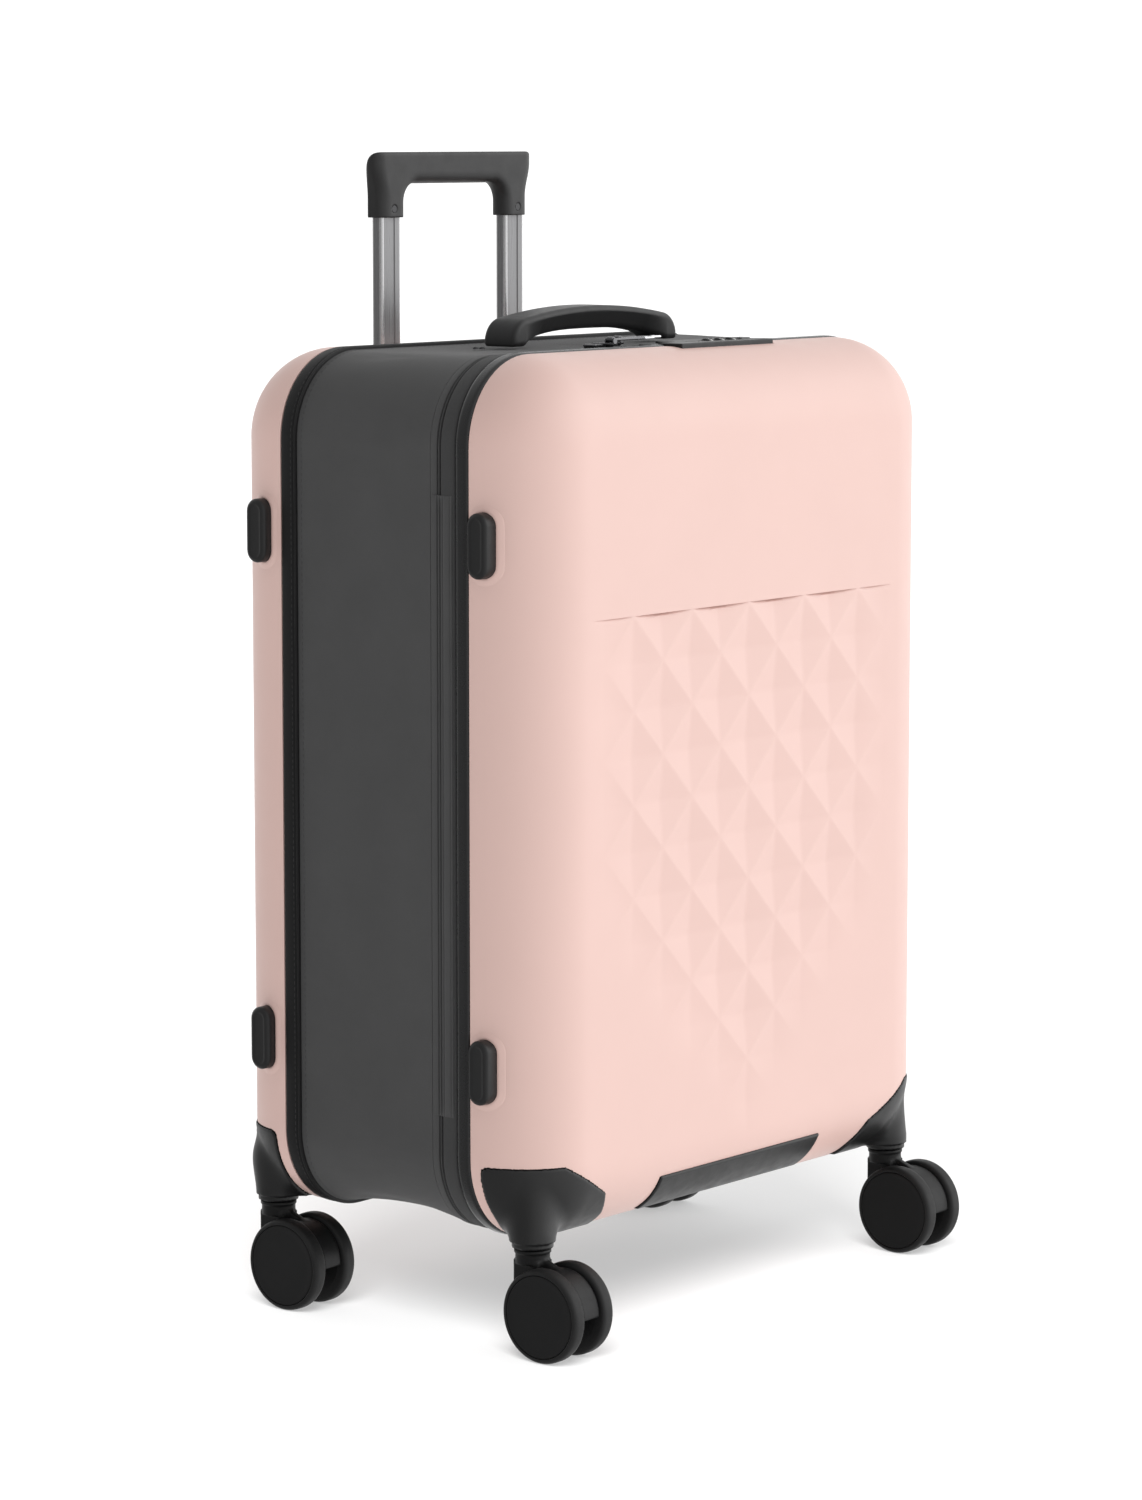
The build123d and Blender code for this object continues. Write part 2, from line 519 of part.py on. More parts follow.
with BuildPart() as trolley_grip:
    with BuildSketch(Plane(origin=(0, tube_y + grip_d / 2, 0), x_dir=(1, 0, 0), z_dir=(0, -1, 0))) as grip_profile:
        with Locations((0, (grip_low + grip_top) / 2)):
            Rectangle(2 * grip_half, grip_top - grip_low)
        fillet(grip_profile.vertices().group_by(Axis.Z)[-1], 9)
        with Locations((0, grip_low)):
            RectangleRounded(2 * 52, 2 * (grip_bar - grip_low), 10, mode=Mode.SUBTRACT)
    extrude(amount=grip_d)
    fillet(trolley_grip.faces().filter_by(Axis.Y).edges(), 3.5)
    # sockets of the tubes in the two legs
    with BuildSketch(Plane.XY.offset(grip_low - 5)):
        with Locations((-tube_x, tube_y), (tube_x, tube_y)):
            SlotOverall(tube_w + 0.06, tube_d + 0.06)
    extrude(amount=grip_bar - 1.9 - grip_low + 5, mode=Mode.SUBTRACT)
    with Locations((-tube_x, tube_y, grip_bar), (tube_x, tube_y, grip_bar)):
        Cylinder(2.6, 8, mode=Mode.SUBTRACT)
    # channel of the release bar, and the well of the button above it
    with Locations((0, tube_y, grip_bar + 1.7)):
        Box(2 * 73, 9.2, 11.4, align=(Align.CENTER, Align.CENTER, Align.MIN), mode=Mode.SUBTRACT)
    with BuildSketch(Plane.XY.offset(grip_bar + 12)):
        with Locations((0, tube_y)):
            SlotOverall(44.8, 8.8)
    extrude(amount=20, mode=Mode.SUBTRACT)
    # screw wells
    with Locations(*[Location((x, tube_y - grip_d / 2 - 1, grip_low + 6), (-90, 0, 0)) for x in (-tube_x, tube_x)]):
        Cylinder(2.6, 2.9, align=(Align.CENTER, Align.CENTER, Align.MIN), mode=Mode.SUBTRACT)
trolley_grip.part.label = "trolley_grip"
export_step(trolley_grip.part, "parts/trolley_grip.step")

with BuildPart() as grip_screws:
    with Locations(*[Location((x, tube_y - grip_d / 2 + 0.2, grip_low + 6), (-90, 0, 0)) for x in (-tube_x, tube_x)]):
        Cylinder(2.5, 1.6, align=(Align.CENTER, Align.CENTER, Align.MIN))
grip_screws.part.label = "grip_screws"
export_step(grip_screws.part, "parts/grip_screws.step")

with BuildPart() as trolley_button:
    with BuildSketch(Plane.XY.offset(grip_bar + 10)):
        with Locations((0, tube_y)):
            SlotOverall(44, 8)
    extrude(amount=grip_top + 1.0 - grip_bar - 10)
    fillet(trolley_button.faces().sort_by(Axis.Z)[-1].edges(), 0.8)
trolley_button.part.label = "trolley_button"
export_step(trolley_button.part, "parts/trolley_button.step")

# bar under the button with a rod down each tube
with BuildPart() as release_rods:
    with Locations((0, tube_y, grip_bar + 6)):
        Box(2 * 70, 5, 4, align=(Align.CENTER, Align.CENTER, Align.MIN))
    with Locations((-tube_x, tube_y, 300), (tube_x, tube_y, 300)):
        Cylinder(2.0, grip_bar + 7 - 300, align=(Align.CENTER, Align.CENTER, Align.MIN))
release_rods.part.label = "release_rods"
export_step(release_rods.part, "parts/release_rods.step")
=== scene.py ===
import json
import math

import bmesh
import bpy
import numpy as np
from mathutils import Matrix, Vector

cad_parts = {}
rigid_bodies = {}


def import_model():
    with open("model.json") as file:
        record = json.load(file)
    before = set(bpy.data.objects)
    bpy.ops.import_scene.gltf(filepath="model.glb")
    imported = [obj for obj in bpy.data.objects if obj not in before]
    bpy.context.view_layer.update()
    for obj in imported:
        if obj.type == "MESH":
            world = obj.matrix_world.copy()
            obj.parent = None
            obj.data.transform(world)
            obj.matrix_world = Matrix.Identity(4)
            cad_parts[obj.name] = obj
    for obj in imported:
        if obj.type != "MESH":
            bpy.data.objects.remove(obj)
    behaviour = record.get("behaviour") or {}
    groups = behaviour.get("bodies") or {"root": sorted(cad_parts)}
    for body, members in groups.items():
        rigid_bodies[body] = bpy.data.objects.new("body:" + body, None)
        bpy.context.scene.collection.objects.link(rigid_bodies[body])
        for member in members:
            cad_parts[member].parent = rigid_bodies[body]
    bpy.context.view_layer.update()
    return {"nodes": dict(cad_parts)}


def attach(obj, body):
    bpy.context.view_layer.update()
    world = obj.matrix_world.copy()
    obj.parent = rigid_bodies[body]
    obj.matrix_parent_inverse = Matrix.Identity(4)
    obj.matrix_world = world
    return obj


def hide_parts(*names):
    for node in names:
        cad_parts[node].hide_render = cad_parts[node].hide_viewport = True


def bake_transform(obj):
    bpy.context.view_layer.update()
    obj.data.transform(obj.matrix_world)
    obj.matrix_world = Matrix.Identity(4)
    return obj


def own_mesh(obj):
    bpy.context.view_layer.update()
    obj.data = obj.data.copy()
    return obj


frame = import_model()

MM = 0.001

# ---------------------------------------------------------------- dimensions, mm
half_w = 228.0
z_low, z_high = 70.8, 659.5
z_mid = 0.5 * (z_low + z_high)
corner_r = 60.0
edge_r = 55.0
shell_t = 2.6
front_face, front_rim = -125.6, -69.5
back_face, rear_rim = 153.4, 96.0
straight_x = half_w - corner_r
straight_lo, straight_hi = z_low + corner_r, z_high - corner_r


# ---------------------------------------------------------------- materials
def new_material(name, color, rough=0.5, metal=0.0, spec=0.5):
    m = bpy.data.materials.new(name)
    m.use_nodes = True
    nt = m.node_tree
    b = nt.nodes["Principled BSDF"]
    b.inputs["Base Color"].default_value = (*color, 1.0)
    b.inputs["Roughness"].default_value = rough
    b.inputs["Metallic"].default_value = metal
    b.inputs["Specular IOR Level"].default_value = spec
    m.diffuse_color = (*color, 1.0)
    return m, nt, b


def coords(nt, kind="Object", scale=(1, 1, 1), rot=(0, 0, 0)):
    t = nt.nodes.new("ShaderNodeTexCoord")
    mp = nt.nodes.new("ShaderNodeMapping")
    mp.inputs["Scale"].default_value = scale
    mp.inputs["Rotation"].default_value = rot
    nt.links.new(t.outputs[kind], mp.inputs["Vector"])
    return mp.outputs["Vector"]


def noise(nt, vec, scale, detail=3.0, rough=0.5):
    n = nt.nodes.new("ShaderNodeTexNoise")
    n.inputs["Scale"].default_value = scale
    n.inputs["Detail"].default_value = detail
    n.inputs["Roughness"].default_value = rough
    nt.links.new(vec, n.inputs["Vector"])
    return n.outputs["Fac"]


def span(nt, fac, lo, hi, a=0.3, b=0.7):
    r = nt.nodes.new("ShaderNodeMapRange")
    r.inputs["From Min"].default_value = a
    r.inputs["From Max"].default_value = b
    r.inputs["To Min"].default_value = lo
    r.inputs["To Max"].default_value = hi
    nt.links.new(fac, r.inputs["Value"])
    return r.outputs["Result"]


def ramp(nt, fac, lo, hi, a=0.3, b=0.7):
    r = nt.nodes.new("ShaderNodeValToRGB")
    r.color_ramp.elements[0].position = a
    r.color_ramp.elements[0].color = (*lo, 1)
    r.color_ramp.elements[1].position = b
    r.color_ramp.elements[1].color = (*hi, 1)
    nt.links.new(fac, r.inputs["Fac"])
    return r.outputs["Color"]


def bump(nt, height, dist, strength=1.0, under=None):
    n = nt.nodes.new("ShaderNodeBump")
    n.inputs["Strength"].default_value = strength
    n.inputs["Distance"].default_value = dist
    nt.links.new(height, n.inputs["Height"])
    if under is not None:
        nt.links.new(under, n.inputs["Normal"])
    return n.outputs["Normal"]


def math_node(nt, op, a, b=None, value=None):
    n = nt.nodes.new("ShaderNodeMath")
    n.operation = op
    nt.links.new(a, n.inputs[0])
    if b is not None:
        nt.links.new(b, n.inputs[1])
    if value is not None:
        n.inputs[1].default_value = value
    return n.outputs["Value"]


def shade(c, k):
    return tuple(min(1.0, v * k) for v in c)


def plastic(name, color, rough, var=0.05, grain=900.0, grain_mm=0.02, rvar=0.06,
            spec=0.5, coat=0.0, coat_rough=0.2, blotch=18.0, stretch=(1, 1, 1)):
    """Moulded plastic: a slow tone drift, uneven gloss and a fine mould grain."""
    m, nt, b = new_material(name, color, rough, 0.0, spec)
    v = coords(nt, "Object", stretch)
    tone = noise(nt, v, blotch, 4.0, 0.6)
    nt.links.new(ramp(nt, tone, shade(color, 1 - var), shade(color, 1 + var)), b.inputs["Base Color"])
    gloss = noise(nt, v, blotch * 6, 3.0, 0.6)
    nt.links.new(span(nt, gloss, rough - rvar, rough + rvar), b.inputs["Roughness"])
    g = noise(nt, v, grain, 2.0, 0.5)
    nt.links.new(bump(nt, g, grain_mm * MM), b.inputs["Normal"])
    if coat:
        b.inputs["Coat Weight"].default_value = coat
        b.inputs["Coat Roughness"].default_value = coat_rough
    return m


def woven(name, color, pitch_mm, rough=0.85, contrast=0.25, depth_mm=0.12, sheen=0.2, var=0.12, spec=0.25):
    """Plain weave over the UV map, which is laid out in metres: threads over and under, with uneven dye."""
    m, nt, b = new_material(name, color, rough, 0.0, spec)
    uv = coords(nt, "UV")
    sep = nt.nodes.new("ShaderNodeSeparateXYZ")
    nt.links.new(uv, sep.inputs["Vector"])
    k = 2 * math.pi / (pitch_mm * MM)
    su = math_node(nt, "SINE", math_node(nt, "MULTIPLY", sep.outputs["X"], value=k))
    sv = math_node(nt, "SINE", math_node(nt, "MULTIPLY", sep.outputs["Y"], value=k))
    thread = math_node(nt, "MULTIPLY", su, sv)
    up = span(nt, thread, 0.0, 1.0, -1.0, 1.0)
    v = coords(nt, "Object")
    dye = noise(nt, v, 30.0, 4.0, 0.65)
    fuzz = noise(nt, v, 1400.0, 2.0, 0.5)
    mix = math_node(nt, "ADD", math_node(nt, "MULTIPLY", up, value=contrast),
                    math_node(nt, "MULTIPLY", dye, value=1.0 - contrast))
    mix = math_node(nt, "ADD", math_node(nt, "MULTIPLY", mix, value=0.8),
                    math_node(nt, "MULTIPLY", fuzz, value=0.2))
    nt.links.new(ramp(nt, mix, shade(color, 1 - var), shade(color, 1 + var), 0.25, 0.75), b.inputs["Base Color"])
    nt.links.new(span(nt, dye, rough - 0.05, rough + 0.05), b.inputs["Roughness"])
    n1 = bump(nt, up, depth_mm * MM, 0.8)
    nt.links.new(bump(nt, fuzz, 0.05 * MM, 0.6, n1), b.inputs["Normal"])
    b.inputs["Sheen Weight"].default_value = sheen
    b.inputs["Sheen Roughness"].default_value = 0.5
    return m


def brushed(name, color, rough=0.28, along=(260, 260, 3), metal=1.0, var=0.12, depth_mm=0.012):
    """Metal brushed lengthways: streaks of gloss and a fine directional scratch."""
    m, nt, b = new_material(name, color, rough, metal, 0.5)
    v = coords(nt, "Object", along)
    s = noise(nt, v, 9.0, 5.0, 0.7)
    nt.links.new(ramp(nt, s, shade(color, 1 - var), shade(color, 1 + var)), b.inputs["Base Color"])
    nt.links.new(span(nt, s, rough - 0.07, rough + 0.09), b.inputs["Roughness"])
    nt.links.new(bump(nt, s, depth_mm * MM), b.inputs["Normal"])
    return m


def polished(name, color, rough=0.12, metal=1.0):
    m, nt, b = new_material(name, color, rough, metal, 0.5)
    v = coords(nt, "Object")
    s = noise(nt, v, 160.0, 4.0, 0.6)
    nt.links.new(span(nt, s, rough * 0.6, rough * 1.7), b.inputs["Roughness"])
    nt.links.new(ramp(nt, s, shade(color, 0.93), shade(color, 1.05)), b.inputs["Base Color"])
    nt.links.new(bump(nt, s, 0.004 * MM), b.inputs["Normal"])
    return m


M = {}
M["shell_pink"] = plastic("shell_pink", (0.645, 0.450, 0.406), 0.42, var=0.012, grain=420.0, grain_mm=0.012,
                          rvar=0.04, spec=0.36, blotch=9.0)
M["gusset_fabric"] = woven("gusset_fabric", (0.056, 0.056, 0.0565), 1.1, 0.78, 0.25, 0.10, 0.10, 0.12)
M["zip_tape"] = woven("zip_tape", (0.041, 0.041, 0.0415), 0.8, 0.82, 0.35, 0.10, 0.08, 0.14)
M["binding_black"] = woven("binding_black", (0.006, 0.006, 0.0063), 1.3, 0.58, 0.4, 0.08, 0.02, 0.2, 0.28)
M["band_gloss"] = plastic("band_gloss", (0.009, 0.009, 0.0095), 0.28, var=0.05, grain=300.0, grain_mm=0.003, rvar=0.03,
                          spec=0.5)
M["lining"] = woven("lining", (0.165, 0.150, 0.148), 1.6, 0.70, 0.5, 0.10, 0.25, 0.18, 0.35)
# near-black, dull lip material: painted shade in the gap round the housings and the kick plate
M["gap_shadow_black"] = plastic("gap_shadow_black", (0.004, 0.004, 0.0042), 0.7, var=0.1, grain=1200.0, grain_mm=0.01, spec=0.08)
M["trim_black"] = plastic("trim_black", (0.012, 0.012, 0.0123), 0.40, var=0.10, grain=1100.0, grain_mm=0.03, rvar=0.05,
                          spec=0.36)
M["tube_aluminium"] = brushed("tube_aluminium", (0.186, 0.186, 0.190), 0.30, metal=0.6, var=0.05, depth_mm=0.006)
# brighter copy of the tube metal for the tubes' rounded corners: a painted highlight
M["tube_edge_highlight"] = brushed("tube_edge_highlight", (0.46, 0.46, 0.465), 0.24, metal=0.8, var=0.05, depth_mm=0.006)
M["grip_charcoal"] = plastic("grip_charcoal", (0.018, 0.018, 0.0184), 0.46, var=0.08, grain=1500.0, grain_mm=0.03,
                             rvar=0.05, spec=0.34)
M["button_grey"] = plastic("button_grey", (0.075, 0.075, 0.078), 0.42, var=0.06, grain=1200.0, grain_mm=0.02)
M["steel"] = brushed("steel", (0.55, 0.55, 0.57), 0.25, (180, 180, 30))
M["lock_black"] = plastic("lock_black", (0.012, 0.012, 0.0125), 0.42, var=0.1, grain=1300.0, grain_mm=0.02, spec=0.3)
M["dial_black"] = plastic("dial_black", (0.035, 0.035, 0.036), 0.38, var=0.1, grain=1600.0, grain_mm=0.02)
M["digit_white"] = plastic("digit_white", (0.80, 0.80, 0.78), 0.5, var=0.04, grain=2000.0, grain_mm=0.01)
M["pull_chrome"] = polished("pull_chrome", (0.66, 0.66, 0.68), 0.12)
M["pull_dark"] = polished("pull_dark", (0.13, 0.13, 0.135), 0.22)
M["screw_dark"] = brushed("screw_dark", (0.045, 0.045, 0.047), 0.35, (180, 180, 30), metal=0.8)
M["wheel_black"] = plastic("wheel_black", (0.0080, 0.0080, 0.0082), 0.46, var=0.1, grain=1200.0, grain_mm=0.02,
                           rvar=0.05, spec=0.22)
M["tyre_black"] = plastic("tyre_black", (0.011, 0.011, 0.0112), 0.56, var=0.14, grain=800.0, grain_mm=0.03, rvar=0.05,
                          spec=0.26)
M["thread_dark"] = plastic("thread_dark", (0.028, 0.028, 0.029), 0.75, var=0.2, grain=3000.0, grain_mm=0.05)
M["zip_teeth"] = plastic("zip_teeth", (0.026, 0.026, 0.027), 0.45, var=0.15, grain=2000.0, grain_mm=0.02)
M["webbing"] = woven("webbing", (0.030, 0.029, 0.030), 2.2, 0.78, 0.6, 0.22, 0.12, 0.25)
M["mesh_net"] = woven("mesh_net", (0.045, 0.044, 0.046), 3.0, 0.75, 0.7, 0.25, 0.1, 0.35)


# ---------------------------------------------------------------- mesh helpers
def add_mesh(name, verts, faces, material, body=None, replaces=(), smooth=True, sharp=None,
             uvs=None, fix=True, mats=None, face_mat=None, weld=None):
    """A mesh object from millimetre vertices, set to ride on a body and stand for CAD nodes."""
    me = bpy.data.meshes.new(name)
    verts = np.asarray(verts, float) * MM
    me.from_pydata([tuple(v) for v in verts], [], [tuple(int(i) for i in f) for f in faces])
    if uvs is not None:
        layer = me.uv_layers.new(name="UVMap")
        idx = np.empty(len(me.loops), np.int32)
        me.loops.foreach_get("vertex_index", idx)
        layer.data.foreach_set("uv", np.asarray(uvs, np.float32)[idx].ravel())
    for x in (mats or [material]):
        me.materials.append(x)
    if face_mat is not None:
        me.polygons.foreach_set("material_index", np.asarray(face_mat, np.int32))
    me.update()
    if fix or weld:
        bm = bmesh.new()
        bm.from_mesh(me)
        if weld:
            bmesh.ops.remove_doubles(bm, verts=bm.verts, dist=weld * MM)
        if fix:
            bmesh.ops.recalc_face_normals(bm, faces=bm.faces)
        bm.to_mesh(me)
        bm.free()
    me.validate()
    if smooth:
        me.shade_smooth()
        if sharp:
            me.set_sharp_from_angle(angle=math.radians(sharp))
    else:
        me.shade_flat()
    ob = bpy.data.objects.new(name, me)
    bpy.context.scene.collection.objects.link(ob)
    if replaces:
        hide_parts(*replaces)
    if body:
        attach(ob, body)
    return ob


def apply_modifiers(ob):
    """Turns an object's modifiers into its mesh."""
    deps = bpy.context.evaluated_depsgraph_get()
    me = bpy.data.meshes.new_from_object(ob.evaluated_get(deps), depsgraph=deps)
    ob.modifiers.clear()
    ob.data = me
    return ob


class Pile:
    """Collects several closed shapes into one mesh."""

    def __init__(self):
        self.v, self.f, self.uv, self.n = [], [], [], 0

    def add(self, verts, faces, uv=None):
        verts = np.asarray(verts, float)
        self.v.append(verts)
        self.f += [tuple(int(i) + self.n for i in f) for f in faces]
        self.uv.append(np.zeros((len(verts), 2)) if uv is None else np.asarray(uv, float))
        self.n += len(verts)
        return self

    def out(self):
        return np.vstack(self.v), self.f, np.vstack(self.uv)


def block(lo, hi, r=0.5):
    """A box with chamfered edges, as vertices and faces: 24 vertices, each corner cut three ways."""
    lo, hi = np.array(lo, float), np.array(hi, float)
    c, h = 0.5 * (lo + hi), 0.5 * (hi - lo)
    r = min(r, 0.45 * h.min())
    bm = bmesh.new()
    bmesh.ops.create_cube(bm, size=2.0)
    for v in bm.verts:
        v.co = Vector((c[0] + v.co.x * h[0], c[1] + v.co.y * h[1], c[2] + v.co.z * h[2]))
    bmesh.ops.bevel(bm, geom=list(bm.edges), offset=r, segments=2, profile=0.5, affect="EDGES")
    v = np.array([x.co[:] for x in bm.verts])
    bm.verts.index_update()
    f = [tuple(x.index for x in p.verts) for p in bm.faces]
    bm.free()
    return v, f


def ring_path(x0=0.0, x1=0.0, ds=14.0, da=3.0, inset=0.0):
    """The case outline, clockwise from x0 on the top edge round to x1 on the top edge: points, outward normals and
    length so far."""
    hw, r = half_w - inset, corner_r - inset
    lo, hi = z_low + inset, z_high - inset
    pts, nrm = [], []

    def line(a, b, n):
        k = max(2, int(math.ceil(math.hypot(b[0] - a[0], b[1] - a[1]) / ds)) + 1)
        for t in np.linspace(0, 1, k):
            pts.append((a[0] + (b[0] - a[0]) * t, a[1] + (b[1] - a[1]) * t))
            nrm.append(n)

    def arc(cx, cz, a0, a1):
        k = int(round(abs(a1 - a0) / da))
        for a in np.linspace(a0, a1, k + 1)[1:-1]:
            c, s = math.cos(math.radians(a)), math.sin(math.radians(a))
            pts.append((cx + r * c, cz + r * s))
            nrm.append((c, s))

    sx, lo_s, hi_s = hw - r, lo + r, hi - r
    line((x0, hi), (sx, hi), (0, 1))
    arc(sx, hi_s, 90, 0)
    line((hw, hi_s), (hw, lo_s), (1, 0))
    arc(sx, lo_s, 0, -90)
    line((sx, lo), (-sx, lo), (0, -1))
    arc(-sx, lo_s, -90, -180)
    line((-hw, lo_s), (-hw, hi_s), (-1, 0))
    arc(-sx, hi_s, 180, 90)
    line((-sx, hi), (x1, hi), (0, 1))
    pts, nrm = np.array(pts), np.array(nrm, float)
    keep = np.r_[True, np.hypot(*np.diff(pts, axis=0).T) > 1e-6]
    pts, nrm = pts[keep], nrm[keep]
    s = np.r_[0, np.cumsum(np.hypot(*np.diff(pts, axis=0).T))]
    closed = abs(x0 - x1) < 1e-9
    if closed and np.hypot(*(pts[0] - pts[-1])) < 1e-6:
        total = s[-1]
        pts, nrm, s = pts[:-1], nrm[:-1], s[:-1]
    else:
        total = s[-1]
    return pts, nrm, s, closed, total


def sweep(path, prof):
    """A profile of (outward, y) points swept round the path. prof is (k, 2), or (n, k, 2) where it changes along."""
    pts, nrm, s, closed, total = path
    n = len(pts)
    prof = np.asarray(prof, float)
    if prof.ndim == 2:
        prof = np.repeat(prof[None], n, axis=0)
    k = prof.shape[1]
    xz = pts[:, None, :] + nrm[:, None, :] * prof[:, :, :1]
    v = np.stack([xz[..., 0], prof[..., 1], xz[..., 1]], axis=-1).reshape(-1, 3)
    girth = np.r_[0, np.cumsum(np.hypot(*np.diff(prof[0], axis=0).T))]
    uv = np.stack([np.repeat(s[:, None], k, 1), np.repeat(girth[None], n, 0)], axis=-1).reshape(-1, 2) * MM
    f = []
    for i in range(n if closed else n - 1):
        a, b = i * k, ((i + 1) % n) * k
        for j in range(k):
            q = (j + 1) % k
            f.append((a + j, a + q, b + q, b + j))
    if not closed:
        f.append(tuple(range(k)))
        f.append(tuple((n - 1) * k + j for j in reversed(range(k))))
    return v, f, uv


def rounded_profile(o0, o1, y0, y1, r, seg=4, crown=0.0, mids=5):
    """A closed rounded-rectangle profile between outward o0..o1 and y0..y1; the outer side is crowned by crown."""
    pts = []
    r = min(r, 0.49 * (o1 - o0), 0.49 * (y1 - y0))

    def corner(co, cy, a0):
        for a in np.linspace(a0, a0 + 90, seg + 1):
            pts.append((co + r * math.cos(math.radians(a)), cy + r * math.sin(math.radians(a))))

    corner(o1 - r, y1 - r, 0)
    pts.append((o0 + r + 0.3 * (o1 - o0 - 2 * r), y1))
    corner(o0 + r, y1 - r, 90)
    corner(o0 + r, y0 + r, 180)
    corner(o1 - r, y0 + r, 270)
    for t in np.linspace(0, 1, mids + 2)[1:-1]:
        pts.append((o1, y0 + r + t * (y1 - y0 - 2 * r)))
    p = np.array(pts)
    if crown:
        out = p[:, 0] > o1 - r - 1e-6
        u = np.clip((p[:, 1] - y0) / (y1 - y0), 0, 1)
        p[out, 0] += crown * (4 * u * (1 - u) - 1)[out]
    return p


# ---------------------------------------------------------------- implicit shapes
def d_round_rect(x, z):
    """Signed distance to the case outline in the front view."""
    qx = np.abs(x) - straight_x
    qz = np.abs(z - z_mid) - (straight_hi - straight_lo) / 2
    return np.hypot(np.maximum(qx, 0), np.maximum(qz, 0)) + np.minimum(np.maximum(qx, qz), 0) - corner_r


def d_shell(x, y, z, front=True):
    """Signed distance to the moulded form of one half, rounded edge included."""
    a = d_round_rect(x, z) + edge_r
    b = (front_face + edge_r - y) if front else (y - (back_face - edge_r))
    return np.hypot(np.maximum(a, 0), np.maximum(b, 0)) + np.minimum(np.maximum(a, b), 0) - edge_r


def s_min(a, b, k):
    h = np.clip(0.5 + 0.5 * (b - a) / k, 0, 1)
    return b + (a - b) * h - k * h * (1 - h)


def s_max(a, b, k):
    return -s_min(-a, -b, k)


def d_box(x, y, z, lo, hi, r=0.0):
    q = [np.abs(v - 0.5 * (a + b)) - (0.5 * (b - a) - r) for v, a, b in zip((x, y, z), lo, hi)]
    out = np.sqrt(sum(np.maximum(v, 0) ** 2 for v in q))
    return out + np.minimum(np.maximum(np.maximum(q[0], q[1]), q[2]), 0) - r


def d_extrude(d2, h, half, r):
    """A flat shape of signed distance d2 given thickness 2*half along h, its edges rounded by r."""
    a, b = d2 + r, np.abs(h) - half + r
    return np.minimum(np.maximum(a, b), 0) + np.hypot(np.maximum(a, 0), np.maximum(b, 0)) - r


def d_poly(px, pz, poly):
    """Signed distance to a polygon, negative inside."""
    poly = np.asarray(poly, float)
    best = np.full(np.shape(px), 1e18)
    sign = np.ones(np.shape(px))
    n = len(poly)
    for i in range(n):
        a, b = poly[i], poly[i - 1]
        ex, ez = b[0] - a[0], b[1] - a[1]
        wx, wz = px - a[0], pz - a[1]
        t = np.clip((wx * ex + wz * ez) / (ex * ex + ez * ez), 0, 1)
        best = np.minimum(best, (wx - ex * t) ** 2 + (wz - ez * t) ** 2)
        c1, c2, c3 = pz >= a[1], pz < b[1], ex * wz > ez * wx
        flip = (c1 & c2 & c3) | (~c1 & ~c2 & ~c3)
        sign = np.where(flip, -sign, sign)
    return sign * np.sqrt(best)


def surface(f, lo, hi, step, polish=3):
    """A quad mesh of the surface f = 0 in the box lo..hi (surface nets), pulled on to the surface afterwards."""
    n = [int(math.ceil((b - a) / step)) + 1 for a, b in zip(lo, hi)]
    ax = [a + step * np.arange(k) for a, k in zip(lo, n)]
    X, Y, Z = np.meshgrid(*ax, indexing="ij")
    V = f(X, Y, Z)
    ins = V < 0
    cells = [k - 1 for k in n]
    corner = [(i, j, k) for i in (0, 1) for j in (0, 1) for k in (0, 1)]

    def cut(A, c):
        return A[c[0]:c[0] + cells[0], c[1]:c[1] + cells[1], c[2]:c[2] + cells[2]]

    some = np.zeros(cells, bool)
    every = np.ones(cells, bool)
    for c in corner:
        w = cut(ins, c)
        some |= w
        every &= w
    act = some & ~every
    ids = np.full(cells, -1, np.int64)
    where = np.argwhere(act)
    ids[act] = np.arange(len(where))
    acc = np.zeros((len(where), 3))
    cnt = np.zeros(len(where))
    for a in range(8):
        for b in range(a + 1, 8):
            ca, cb = corner[a], corner[b]
            if sum(abs(p - q) for p, q in zip(ca, cb)) != 1:
                continue
            va, vb = cut(V, ca)[act], cut(V, cb)[act]
            hit = (va < 0) != (vb < 0)
            t = np.where(hit, va / np.where(hit, va - vb, 1), 0)
            p = np.array(ca) + (np.array(cb) - np.array(ca)) * t[:, None]
            acc += np.where(hit[:, None], p, 0)
            cnt += hit
    pos = np.array(lo) + step * (where + acc / cnt[:, None])
    quads = []
    for axis in range(3):
        u, w = [k for k in range(3) if k != axis]
        A = ins.take(range(0, n[axis] - 1), axis)
        B = ins.take(range(1, n[axis]), axis)
        flip = A != B
        idx = np.argwhere(flip)
        idx = idx[(idx[:, u] > 0) & (idx[:, w] > 0) & (idx[:, u] < n[u] - 1) & (idx[:, w] < n[w] - 1)]
        q = []
        for du, dw in ((1, 1), (0, 1), (0, 0), (1, 0)):
            c = idx.copy()
            c[:, u] -= du
            c[:, w] -= dw
            q.append(ids[c[:, 0], c[:, 1], c[:, 2]])
        q = np.stack(q, 1)
        quads.append(q[(q >= 0).all(1)])
    quads = np.vstack(quads)
    for _ in range(polish):
        e = 0.25 * step
        d = f(pos[:, 0], pos[:, 1], pos[:, 2])
        g = np.stack([f(*(pos + e * np.eye(3)[k]).T) - f(*(pos - e * np.eye(3)[k]).T) for k in range(3)], 1) / (2 * e)
        g2 = np.maximum((g * g).sum(1), 0.05)
        pos = pos - np.clip(d / g2, -step, step)[:, None] * g * 0.8
    return pos, quads


# ---------------------------------------------------------------- the two shells
pitch = 63.1
relief_top = 487.0
cell = pitch / 32.0


